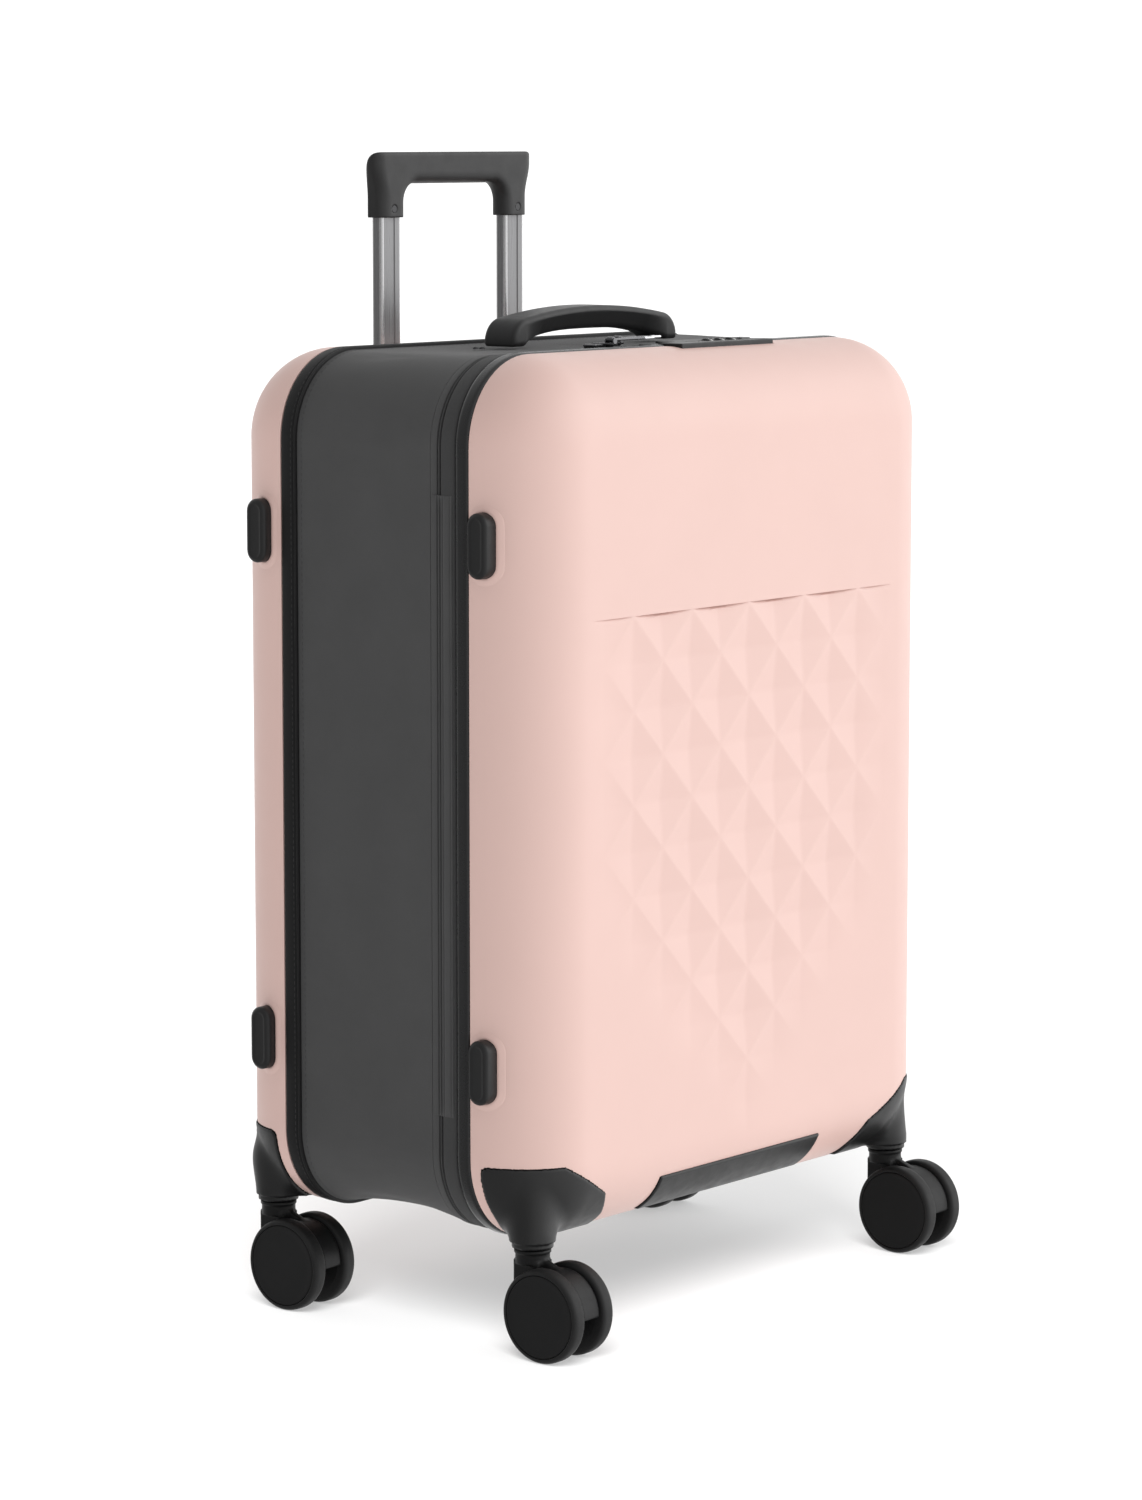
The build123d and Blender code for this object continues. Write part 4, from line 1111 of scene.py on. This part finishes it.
fv, fq = surface(fork, (-14.5, -53, 20), (14.5, 15, 74), 0.9)
tyre_prof = [(24.2, 9.4), (26.5, 9.25), (29.2, 9.35), (30.4, 9.8), (31.15, 10.7), (31.45, 11.9), (31.5, 13.4), (31.5, 16.2),
             (31.4, 17.6), (31.05, 18.9), (30.4, 19.8), (29.6, 20.35), (28.9, 20.55), (28.35, 20.5), (28.1, 20.2),
             (28.0, 19.4), (24.2, 19.2)]
hub_prof = [(0.0, 19.95), (6.0, 19.95), (20.0, 20.0), (22.0, 20.02), (25.2, 20.1), (26.6, 20.25), (27.3, 20.2), (27.65, 19.9), (27.75, 19.3),
            (24.3, 19.1), (24.3, 9.6), (22.8, 9.2), (10.5, 9.2), (10.2, 10.0), (4.4, 10.0), (4.2, 9.16), (0.0, 9.16)]
tv, tf = lathe(tyre_prof, 84)
hv, hf = lathe(hub_prof, 84)
for cx, cy, nm in ((-stem_x, stem_front, "front_left"), (stem_x, stem_front, "front_right"),
                   (-stem_x, stem_rear, "rear_left"), (stem_x, stem_rear, "rear_right")):
    add_mesh(f"{nm}_fork_body", fv + np.array([cx, cy, 0]), fq, M["wheel_black"], f"{nm}_caster", [f"{nm}_fork"])
    for side, sgn in (("l", -1), ("r", 1)):
        c = np.array([cx, cy - 21.7, 31.5])
        add_mesh(f"{nm}_tyre_{side}_tread", tv * np.array([sgn, 1, 1]) + c, tf, M["tyre_black"], f"{nm}_wheel_{side}",
                 [f"{nm}_tyre_{side}"], sharp=50)
        add_mesh(f"{nm}_hub_{side}_cap", hv * np.array([sgn, 1, 1]) + c, hf, M["wheel_black"], f"{nm}_wheel_{side}",
                 [f"{nm}_hub_{side}"], sharp=40)


# ---------------------------------------------------------------- pull handle
tube_x, tube_y = 67.0, 142.4


def tube_profile(w, d, r=2.3, seg=5):
    """Flat oval tube section in (x, y): broad flats with a shallow groove down the middle, and rounded edges."""
    p, edge = [], []
    for k, (cx, cy) in enumerate(((w / 2 - r, -d / 2 + r), (w / 2 - r, d / 2 - r), (-w / 2 + r, d / 2 - r), (-w / 2 + r, -d / 2 + r))):
        for i, a in enumerate(np.linspace(-90 + 90 * k, 90 * k, seg + 1)):
            p.append((cx + r * math.cos(math.radians(a)), cy + r * math.sin(math.radians(a))))
            edge.append(i < seg)
        if k == 1:
            for gx, gd in ((3.6, 0), (3.2, 0.6), (-3.2, 0.6), (-3.6, 0)):
                p.append((gx, d / 2 - gd))
                edge.append(False)
        if k == 3:
            for gx, gd in ((-3.6, 0), (-3.2, 0.6), (3.2, 0.6), (3.6, 0)):
                p.append((gx, -d / 2 + gd))
                edge.append(False)
    return np.array(p), edge


pile = Pile()
prof, edge = tube_profile(20.8, 9.7)
# look marks the faces on each tube's rounded corners, which take the brighter aluminium: a painted highlight along the
# edges
look = []
for sx in (-tube_x, tube_x):
    loops = [np.column_stack([prof[:, 0] + sx, prof[:, 1] + tube_y, np.full(len(prof), z)]) for z in (236.0, 400.0, 620.0, 765.0)]
    pile.add(*loft(loops))
    look += [1 if e else 0 for _ in range(3) for e in edge] + [0, 0]
v, f, _ = pile.out()
add_mesh("trolley_inner_tubes_drawn", v, f, M["tube_aluminium"], "trolley", ["trolley_inner_tubes"], sharp=25,
         mats=[M["tube_aluminium"], M["tube_edge_highlight"]], face_mat=look)

grip_y = 142.4


def grip_crown(y, z):
    """The top of the grip falls away to the back in a broad round, deeper than it is wide."""
    b = y - grip_y
    rw, rh = 15.0, 22.0
    qy, qz = np.maximum(b - (8.0 - rw), 0) / rw, np.maximum(z - (790.1 - rh), 0) / rh
    h = np.hypot(qy, qz)
    e = (h - 1) * np.where(h > 1e-6, np.sqrt((qy * rw) ** 2 + (qz * rh) ** 2) / np.maximum(h, 1e-6), rw)
    return np.where((b > 8.0 - rw) & (z > 790.1 - rh), e, np.maximum(b - 8.0, z - 790.1))


def grip(x, y, z):
    ax, b = np.abs(x), y - grip_y
    t = np.clip((z - 758.0) / 24.0, 0, 1)
    t = t * t * (3 - 2 * t)
    w = 80.0 + 5.0 * t
    # the back corners grow from a small round on the leg to a broad one at the bar
    rx, ry = np.where(b < 0, 9.5, 3.6 + 9.6 * t), np.where(b < 0, 7.0, 3.6 + 4.4 * t)
    qx, qy = np.maximum(ax - (w - rx), 0) / rx, np.maximum(np.abs(b) - (8.0 - ry), 0) / ry
    h = np.hypot(qx, qy)
    plan = (h - 1) * np.where(h > 1e-6, np.hypot(qx * rx, qy * ry) / np.maximum(h, 1e-6), ry)
    plan = np.where((ax > w - rx) & (np.abs(b) > 8.0 - ry), plan, np.maximum(ax - w, np.abs(b) - 8.0))
    qx, qz = ax - (53.0 - 13.0), z - (767.9 - 13.0)
    win = np.hypot(np.maximum(qx, 0), np.maximum(qz, 0)) + np.minimum(np.maximum(qx, qz), 0) - 13.0
    d = s_max(plan, -win, 9.0)
    d = s_max(d, grip_crown(y, z), 3.0)
    well = np.maximum(np.hypot(np.maximum(ax - 18.1, 0), b) - 4.1, -(grip_crown(y, z) + 0.7))
    d = np.maximum(d, -well)
    hole = np.maximum(np.hypot(ax - 67.0, z - 750.6) - 2.7, b + 7.0)
    d = np.maximum(d, -hole)
    return np.maximum(d, 744.6 - z)


def grip_button(x, y, z):
    top = grip_crown(y, z) - 0.45
    plan = np.hypot(np.maximum(np.abs(x) - 18.1, 0), y - grip_y) - 3.7
    return np.maximum(s_max(plan, top, 1.2), 779.0 - z)


v, q = surface(grip_button, (-24, 137, 777.5), (24, 148, 792), 0.5)
add_mesh("trolley_button_pad", v, q, M["button_grey"], "trolley_release", ["trolley_button"])

v, q = surface(grip, (-88, 132, 743), (88, 153, 792.5), 0.8)
add_mesh("trolley_grip_moulding", v, q, M["grip_charcoal"], "trolley", ["trolley_grip"])


# ---------------------------------------------------------------- carry handles
def bow(x, y, z, length=90.0, rise=25.6, gap_half=78.0, gap_rise=9.8, base=-0.3, half_y=14.2, r=3.6, lean=0.55):
    """A moulded strap handle lying along x on the plane z = 0, bowed up in the middle over a finger gap."""
    ax = np.abs(x)
    # crown: a long low arch whose ends turn down steeply in a round shoulder
    arch = rise - 9.5 * (ax / length) ** 2
    sh = 13.0
    top = base + arch
    up = z - top
    end = ax - length
    shoulder = np.hypot(np.maximum(ax - (length - sh), 0), np.maximum(up + sh, 0)) - sh
    crown = np.where((ax > length - sh) & (up > -sh), shoulder, np.maximum(up, end))
    under = base - 0.2 + gap_rise * np.maximum(1 - (ax / gap_half) ** 3, 0)
    d2 = s_max(crown, np.where(ax < gap_half, under, base - 0.2) - z, 1.5)
    mid = np.clip(1 - (ax / (0.86 * length)) ** 2, 0, 1)
    hy = half_y - 0.8 * mid - lean * np.clip(top - 4.0 - z, 0, 14.0) * np.clip(2.2 * mid, 0, 1)
    return d_extrude(d2, y, hy, r)


v, q = surface(lambda x, y, z: bow(x, y, z), (-93, -17, -1.5), (93, 17, 28), 0.9)
top_z = 659.5
v = v + np.array([0, 20.9, top_z])
add_mesh("carry_handle_moulding", v, q, M["grip_charcoal"], "top_handle", ["carry_handle"])

v, q = surface(lambda x, y, z: bow(x, y, z, 96.0, 13.2, 80.0, 5.4, -0.8, 12.8, 3.4, 0.2), (-99, -16, -2), (99, 16, 16), 0.9)
w = np.column_stack([v[:, 2] + 227.8, v[:, 1] + 20.9, v[:, 0] + z_mid])
add_mesh("side_handle_moulding", w, q, M["grip_charcoal"], "side_grip", ["side_handle"])


# two rivets on the soft wall beside the handle's left foot
pile = Pile()
for rx, ry in ((-102.5, 30.8), (-100.0, 27.2)):
    dome, df = lathe([(0.0, 1.0), (0.9, 0.92), (1.5, 0.65), (1.9, 0.2), (2.0, -0.6), (0.0, -0.6)], 24)
    pile.add(np.column_stack([dome[:, 1] + rx, dome[:, 2] + ry, dome[:, 0] + 658.2]), df)
v, f, _ = pile.out()
add_mesh("handle_rivets", v, f, M["screw_dark"], "top_handle", sharp=40)


# ---------------------------------------------------------------- lock, zip sliders and pulls
def cyl_x(y, z, yc, zc, r):
    return np.hypot(y - yc, z - zc) - r


def lock_form(x, y, z):
    """Lock plate: rounded block with a low step for the pulls, three dial windows, a button pocket and a key plug."""
    d = d_box(x, y, z, (-19.7, -82.3, 649.0), (83.7, -44.4, 661.5), 0.9)
    step = np.maximum(np.maximum(x + 1.0, -61.4 - y), 660.1 - z)
    d = s_max(d, -step, 0.5)
    for xc in (31.0, 44.0, 57.0):
        d = np.maximum(d, -d_box(x, y, z, (xc - 3.7, -73.0, 649.6), (xc + 3.7, -58.0, 670.0), 0.5))
        mark = d_box(x, y, z, (xc - 0.5, -77.2, 661.1), (xc + 0.5, -75.0, 664.0), 0.2)
        d = np.maximum(d, -mark)
    d = np.maximum(d, -d_box(x, y, z, (66.0, -68.0, 655.5), (77.0, -59.0, 670.0), 0.6))
    rr = np.hypot(x - 13.0, y + 66.0)
    d = np.maximum(d, -np.maximum(np.abs(rr - 4.6) - 0.35, 660.8 - z))
    d = np.maximum(d, -d_box(x, y, z, (12.5, -68.4, 657.5), (13.5, -63.6, 670.0), 0.2))
    border = np.abs(d_box(x, y, z * 0 + 655, (-17.6, -80.2, 640), (81.6, -57.2, 670), 1.5)) - 0.3
    d = np.maximum(d, -np.maximum(border, 661.15 - z))
    spindle = np.maximum(cyl_x(y, z, -65.5, 656.3, 1.6), np.abs(x - 44.0) - 19.0)
    return np.minimum(d, spindle)


v, q = surface(lock_form, (-21.3, -83.9, 647.8), (85.3, -42.8, 663.2), 0.4)
add_mesh("lock_plate", v, q, M["lock_black"], "front_lid", ["lock_body"], sharp=45)


def lock_pad(x, y, z):
    d = d_box(x, y, z, (66.3, -67.7, 658.3), (76.7, -59.3, 662.5 ), 0.9)
    rib = np.abs(np.mod(x - 71.5 + 0.9, 1.8) - 0.9) - 0.35
    return np.maximum(d, -np.maximum(np.maximum(rib, np.abs(x - 71.5) - 3.3), np.maximum(np.abs(y + 63.5) - 2.9, 662.1 - z)))


v, q = surface(lock_pad, (65.2, -68.8, 657.4), (77.8, -58.2, 663.4), 0.25)
add_mesh("lock_button_pad", v, q, M["button_grey"], "lock_release", ["lock_button"], sharp=45)

dial_v, dial_f = lathe([(1.75, -3.3), (5.9, -3.3), (6.5, -3.15), (6.85, -2.8), (6.85, -2.0), (6.5, -1.75), (6.5, 1.75), (6.85, 2.0),
                        (6.85, 2.8), (6.5, 3.15), (5.9, 3.3), (1.75, 3.3)], 120)
rad = np.hypot(dial_v[:, 1], dial_v[:, 2])
phi = np.arctan2(dial_v[:, 2], dial_v[:, 1])
cut = np.where(rad > 6.6, 0.34 * (0.5 + 0.5 * np.cos(30 * phi)), 0.0)
dial_v[:, 1:] *= ((rad - cut) / rad)[:, None]


def figure(ch, size):
    """The outline of one figure as a thin solid, in millimetres, lying in the XY plane."""
    cu = bpy.data.curves.new("figure", "FONT")
    cu.body = ch
    cu.size = size
    cu.align_x, cu.align_y = "CENTER", "CENTER"
    cu.extrude = 0.05
    cu.resolution_u = 3
    ob = bpy.data.objects.new("figure", cu)
    bpy.context.scene.collection.objects.link(ob)
    deps = bpy.context.evaluated_depsgraph_get()
    deps.update()
    me = bpy.data.meshes.new_from_object(ob.evaluated_get(deps), depsgraph=deps)
    fv_ = np.array([x.co[:] for x in me.vertices])
    ff_ = [tuple(x.vertices) for x in me.polygons]
    bpy.data.objects.remove(ob)
    bpy.data.curves.remove(cu)
    bpy.data.meshes.remove(me)
    return fv_, ff_


figures = [figure(str(k), 3.9) for k in range(10)]
for n, xc in enumerate((31.0, 44.0, 57.0), 1):
    add_mesh(f"lock_dial_{n}_wheel", dial_v + np.array([xc, -65.5, 656.3]), dial_f, M["dial_black"], f"dial_{n}",
             [f"lock_dial_{n}"], sharp=40)
    pile = Pile()
    for k, (gv_, gf_) in enumerate(figures):
        R = 6.52 + gv_[:, 2]
        ang = math.radians(36.0 * k) + gv_[:, 1] / 6.52
        pile.add(np.column_stack([gv_[:, 0] + xc, R * np.sin(ang) - 65.5, R * np.cos(ang) + 656.3]), gf_)
    v, f, _ = pile.out()
    add_mesh(f"lock_dial_{n}_figures", v, f, M["digit_white"], f"dial_{n}", smooth=False, weld=0.001)

pile = Pile()
for sx, py in ((-66.0, -54.5), (-50.0, -47.7)):
    zip_y = -43.5

    def slider(x, y, z, sx=sx, py=py):
        """Slider on the chain: a crowned base, a tongue into the tape, and a bail with two ears round the pull's pin."""
        base = d_box(x, y, z, (sx - 6.0, zip_y - 5.5, 660.0), (sx + 6.0, zip_y + 5.5, 661.8), 0.7)
        tongue = d_box(x, y, z, (sx - 5.0, -43.1, 658.9), (sx + 5.0, -38.1, 660.6), 0.4)
        bail = d_box(x, y, z, (sx + 1.8, min(py - 3.6, zip_y - 4.0), 661.2), (sx + 6.2, -39.5, 662.7), 0.5)
        d = s_min(s_min(base, tongue, 0.6), bail, 0.8)
        for e in (-3.4, 3.4):
            ear = d_box(x, y, z, (sx + 1.8, py + e - 0.45, 661.8), (sx + 6.2, py + e + 0.45, 666.0), 0.3)
            ear = s_max(ear, np.hypot(x - (sx + 4.0), z - 663.9) - 2.25, 0.3)
            d = s_min(d, ear, 0.3)
        pin = np.maximum(np.hypot(x - (sx + 4.0), z - 664.9) - 0.9, np.abs(y - py) - 3.6)
        return np.minimum(d, pin)

    v, q = surface(slider, (sx - 7.0, -60.0, 657.6), (sx + 7.4, -36.8, 667.2), 0.25)
    pile.add(v, q)
v, f, _ = pile.out()
add_mesh("zip_sliders_cast", v, f, M["pull_dark"], "front_frame", ["zip_sliders"], sharp=50)

for n, (hx, py) in enumerate(((-62.0, -54.5), (-46.0, -47.7)), 1):

    def pull(x, y, z, hx=hx, py=py):
        """Zip pull lying along the chain: knuckle on the pin, a waisted bar and a bright square tip with a slot."""
        u = x - hx
        half = 2.35 + 0.45 * np.clip((u - 16.0) / 14.0, 0, 1)
        d2 = np.maximum(np.abs(y - py) - half, np.maximum(-0.4 - u, u - 44.0))
        bar = d_extrude(d2, z - 664.9, 0.9, 0.6)
        knuckle = np.maximum(np.hypot(u, z - 664.9) - 2.0, np.abs(y - py) - 2.4)
        d = s_min(bar, knuckle, 0.5)
        d = np.maximum(d, -np.maximum(np.hypot(u, z - 664.9) - 1.05, np.abs(y - py) - 4.0))
        slot = np.hypot(np.maximum(np.abs(u - 39.0) - 1.6, 0), y - py) - 1.1
        d = np.maximum(d, -np.maximum(slot, -5.0 + 0 * z))
        dent = np.hypot(np.maximum(np.abs(u - 20.0) - 9.0, 0), y - py) - 1.15
        return np.maximum(d, -np.maximum(dent, 665.45 - z))

    v, q = surface(pull, (hx - 3.0, py - 4.0, 662.0), (hx + 45.5, py + 4.0, 667.6), 0.22)
    cen = v[np.asarray(q)].mean(1)
    add_mesh(f"zip_pull_{n}_bar", v, q, M["pull_dark"], f"pull_{n}", [f"zip_pull_{n}"], sharp=50,
             mats=[M["pull_dark"], M["pull_chrome"]], face_mat=(cen[:, 0] > hx + 34.0).astype(int))


# ---------------------------------------------------------------- linings
def lining(name, node, body, hw, z0, z1, r, y0, into, quilt):
    """A sewn lining panel: rounded corners, cloth puffed between diagonal seams, and a corded edge. into is the side it puffs to."""
    zc, hh = 0.5 * (z0 + z1), 0.5 * (z1 - z0)
    ax = np.r_[np.linspace(-hw, -(hw - r), 9)[:-1], np.linspace(-(hw - r), hw - r, 61), np.linspace(hw - r, hw, 9)[1:]]
    az = np.r_[np.linspace(-hh, -(hh - r), 9)[:-1], np.linspace(-(hh - r), hh - r, 79), np.linspace(hh - r, hh, 9)[1:]]
    X, Z = np.meshgrid(ax, az, indexing="ij")
    a = np.clip((np.abs(X) - (hw - r)) / r, 0, 1)
    b = np.clip((np.abs(Z) - (hh - r)) / r, 0, 1)
    m = np.maximum(a, b)
    low = np.minimum(a, b) / np.maximum(m, 1e-9)
    ang = np.where(a >= b, math.pi / 4 * low, math.pi / 2 - math.pi / 4 * low)
    both = (a > 0) & (b > 0)
    X = np.where(both, np.sign(X) * (hw - r + r * m * np.cos(ang)), X)
    Z = np.where(both, np.sign(Z) * (hh - r + r * m * np.sin(ang)), Z)
    edge = np.minimum(np.minimum(hw - np.abs(X), hh - np.abs(Z)), 40.0)
    s1, s2 = np.abs(np.sin(math.pi * (X + Z) / quilt)), np.abs(np.sin(math.pi * (X - Z) / quilt))
    puff = 2.0 * (np.minimum(s1, s2)) ** 0.55 * np.clip(edge / 16.0, 0, 1)
    puff += 0.35 * np.sin(X / 37.0 + 1.3) * np.sin(Z / 51.0) * np.clip(edge / 16.0, 0, 1)
    Y = y0 + into * puff
    top = np.stack([X, Y, Z + zc], -1).reshape(-1, 3)
    under = np.stack([X, Y - into * 0.9, Z + zc], -1).reshape(-1, 3)
    na, nb = len(ax), len(az)
    o = na * nb
    f = []
    for i in range(na - 1):
        for j in range(nb - 1):
            q = (i * nb + j, i * nb + j + 1, (i + 1) * nb + j + 1, (i + 1) * nb + j)
            f.append(q)
            f.append(tuple(o + k for k in reversed(q)))
    for i in range(na - 1):
        for j in (0, nb - 1):
            f.append((i * nb + j, (i + 1) * nb + j, o + (i + 1) * nb + j, o + i * nb + j))
    for j in range(nb - 1):
        for i in (0, na - 1):
            f.append((i * nb + j, i * nb + j + 1, o + i * nb + j + 1, o + i * nb + j))
    uv = np.vstack([np.column_stack([X.ravel(), Z.ravel()])] * 2) * MM
    cloth = add_mesh(name, np.vstack([top, under]), f, M["lining"], body, [node], uvs=uv, sharp=70)
    # corded edge
    pts = []
    for cx, cz, a0 in ((1, 1, 0), (-1, 1, 90), (-1, -1, 180), (1, -1, 270)):
        for t in np.linspace(a0, a0 + 90, 13):
            pts.append((cx * (hw - r) + r * math.cos(math.radians(t)), cz * (hh - r) + r * math.sin(math.radians(t)), t))
    pts = np.array(pts)
    loops = []
    for px, pz, t in pts:
        c, sn = math.cos(math.radians(t)), math.sin(math.radians(t))
        loops.append([(px + 1.3 * math.cos(w) * c, y0 + into * (0.2 + 1.3 * math.sin(w)), pz + zc + 1.3 * math.cos(w) * sn)
                      for w in np.linspace(0, 2 * math.pi, 9)[:-1]])
    k = 8
    v = np.vstack(loops)
    f = []
    n = len(loops)
    for i in range(n):
        j = (i + 1) % n
        for w in range(k):
            f.append((i * k + w, i * k + (w + 1) % k, j * k + (w + 1) % k, j * k + w))
    cord = add_mesh(name + "_cord", v, f, M["webbing"], body, sharp=60)
    return cloth


lining("rear_lining_cloth", "rear_lining", "rear_case", 207.0, 93.0, 611.0, 46.0, 131.6, -1.0, 74.0)
lining("lid_lining_cloth", "lid_lining", "front_lid", 179.0, 121.0, 609.0, 20.0, -116.6, 1.0, 74.0)

# ---------------------------------------------------------------- camera, light and floor
cam_data = bpy.data.cameras.new("camera")
cam = bpy.data.objects.new("camera", cam_data)
bpy.context.scene.collection.objects.link(cam)
cam.location = (-2.5601, -2.0543, 0.8043)
cam.rotation_euler = Vector((0.76885, 0.62617, -0.12966)).to_track_quat("-Z", "Y").to_euler()
cam_data.sensor_width = 36.0
cam_data.sensor_fit = "AUTO"
cam_data.lens = 113.585
cam_data.clip_start, cam_data.clip_end = 0.05, 400.0
bpy.context.scene.camera = cam

scene = bpy.context.scene
scene.view_settings.view_transform = "Standard"
scene.view_settings.look = "None"

world = bpy.data.worlds.new("studio")
scene.world = world
world.use_nodes = True
wnt = world.node_tree
wb = wnt.nodes["Background"]
wb.inputs["Color"].default_value = (1.0, 1.0, 1.0, 1.0)
way = wnt.nodes.new("ShaderNodeTexCoord").outputs["Generated"]


def lobe(axis, weight):
    """A broad soft box in one direction of the studio."""
    n = wnt.nodes.new("ShaderNodeVectorMath")
    n.operation = "DOT_PRODUCT"
    wnt.links.new(way, n.inputs[0])
    n.inputs[1].default_value = Vector(axis).normalized()
    top = wnt.nodes.new("ShaderNodeMath")
    top.operation = "MAXIMUM"
    wnt.links.new(n.outputs["Value"], top.inputs[0])
    top.inputs[1].default_value = 0.0
    m = wnt.nodes.new("ShaderNodeMath")
    m.operation = "MULTIPLY"
    wnt.links.new(top.outputs["Value"], m.inputs[0])
    m.inputs[1].default_value = weight
    return m.outputs["Value"]


def sharpen(value, power):
    n = wnt.nodes.new("ShaderNodeMath")
    n.operation = "POWER"
    wnt.links.new(value, n.inputs[0])
    n.inputs[1].default_value = power
    return n.outputs["Value"]


def times(value, k):
    n = wnt.nodes.new("ShaderNodeMath")
    n.operation = "MULTIPLY"
    wnt.links.new(value, n.inputs[0])
    n.inputs[1].default_value = k
    return n.outputs["Value"]


total_light = lobe((0.22, -0.97, 0.10), 0.80)
a = wnt.nodes.new("ShaderNodeMath")
a.operation = "ADD"
wnt.links.new(total_light, a.inputs[0])
wnt.links.new(times(sharpen(lobe((0.68, -0.66, 0.32), 1.0), 6.0), 1.6), a.inputs[1])
total_light = a.outputs["Value"]
for axis, weight in (((0.77, 0.63, 0.0), 0.80), ((0.0, 0.0, 1.0), 0.10)):
    a = wnt.nodes.new("ShaderNodeMath")
    a.operation = "ADD"
    wnt.links.new(total_light, a.inputs[0])
    wnt.links.new(lobe(axis, weight), a.inputs[1])
    total_light = a.outputs["Value"]
a = wnt.nodes.new("ShaderNodeMath")
a.operation = "ADD"
wnt.links.new(total_light, a.inputs[0])
a.inputs[1].default_value = 0.37
wnt.links.new(a.outputs["Value"], wb.inputs["Strength"])

lamp = bpy.data.lights.new("key", "SUN")
lamp.energy = 0.30
lamp.angle = math.radians(50)
key = bpy.data.objects.new("key", lamp)
key.rotation_euler = Vector((-0.30, 0.80, -0.55)).to_track_quat("-Z", "Y").to_euler()
scene.collection.objects.link(key)

# a wide fill from behind on the left, without a reflection of its own, so that the black parts stay deep
lamp = bpy.data.lights.new("left_fill", "SUN")
lamp.energy = 0.25
lamp.angle = math.radians(140)
fill = bpy.data.objects.new("left_fill", lamp)
fill.rotation_euler = Vector((0.55, -0.83, -0.08)).to_track_quat("-Z", "Y").to_euler()
fill.visible_glossy = False
scene.collection.objects.link(fill)

me = bpy.data.meshes.new("floor")
s = 60.0
nfl = 24
gv = [(x, y, 0.0) for x in np.linspace(-s, s, nfl + 1) for y in np.linspace(-s, s, nfl + 1)]
gf = [(i * (nfl + 1) + j, (i + 1) * (nfl + 1) + j, (i + 1) * (nfl + 1) + j + 1, i * (nfl + 1) + j + 1)
      for i in range(nfl) for j in range(nfl)]
me.from_pydata(gv, [], gf)
floor = bpy.data.objects.new("floor", me)
scene.collection.objects.link(floor)
fm, nt, b = new_material("floor_pale", (0.43, 0.43, 0.43), 0.9, 0.0, 0.1)
fv = coords(nt, "Object")
fn = noise(nt, fv, 3.0, 3.0)
nt.links.new(ramp(nt, fn, (0.407, 0.407, 0.407), (0.413, 0.413, 0.413)), b.inputs["Base Color"])
b.inputs["Emission Color"].default_value = (1, 1, 1, 1)
b.inputs["Emission Strength"].default_value = 0.40
me.materials.append(fm)
floor.visible_glossy = False

# a slanting lamp for the floor alone, which leaves a soft shadow well in under the case
lamp = bpy.data.lights.new("floor_wash", "SUN")
lamp.energy = 4.6
lamp.angle = math.radians(34)
wash = bpy.data.objects.new("floor_wash", lamp)
wash.rotation_euler = Vector((0.575, 0.43, -0.695)).to_track_quat("-Z", "Y").to_euler()
scene.collection.objects.link(wash)
lit = bpy.data.collections.new("floor_only")
lit.objects.link(floor)
wash.light_linking.receiver_collection = lit

# ---------------------------------------------------------------- CAD nodes that stay as they are
keep = {
    "trolley_bezel": "trim_black", "trolley_outer_tubes": "tube_aluminium", "trolley_foot_brackets": "trim_black",
    "grip_screws": "screw_dark", "release_rods": "steel",
    "front_left_pins": "steel", "front_right_pins": "steel", "rear_left_pins": "steel", "rear_right_pins": "steel",
}
for node, m in keep.items():
    ob = frame["nodes"].get(node)
    if ob is None:
        continue
    for o in [ob] + list(ob.children_recursive):
        if o.type == "MESH":
            o.data.materials.clear()
            o.data.materials.append(M[m])
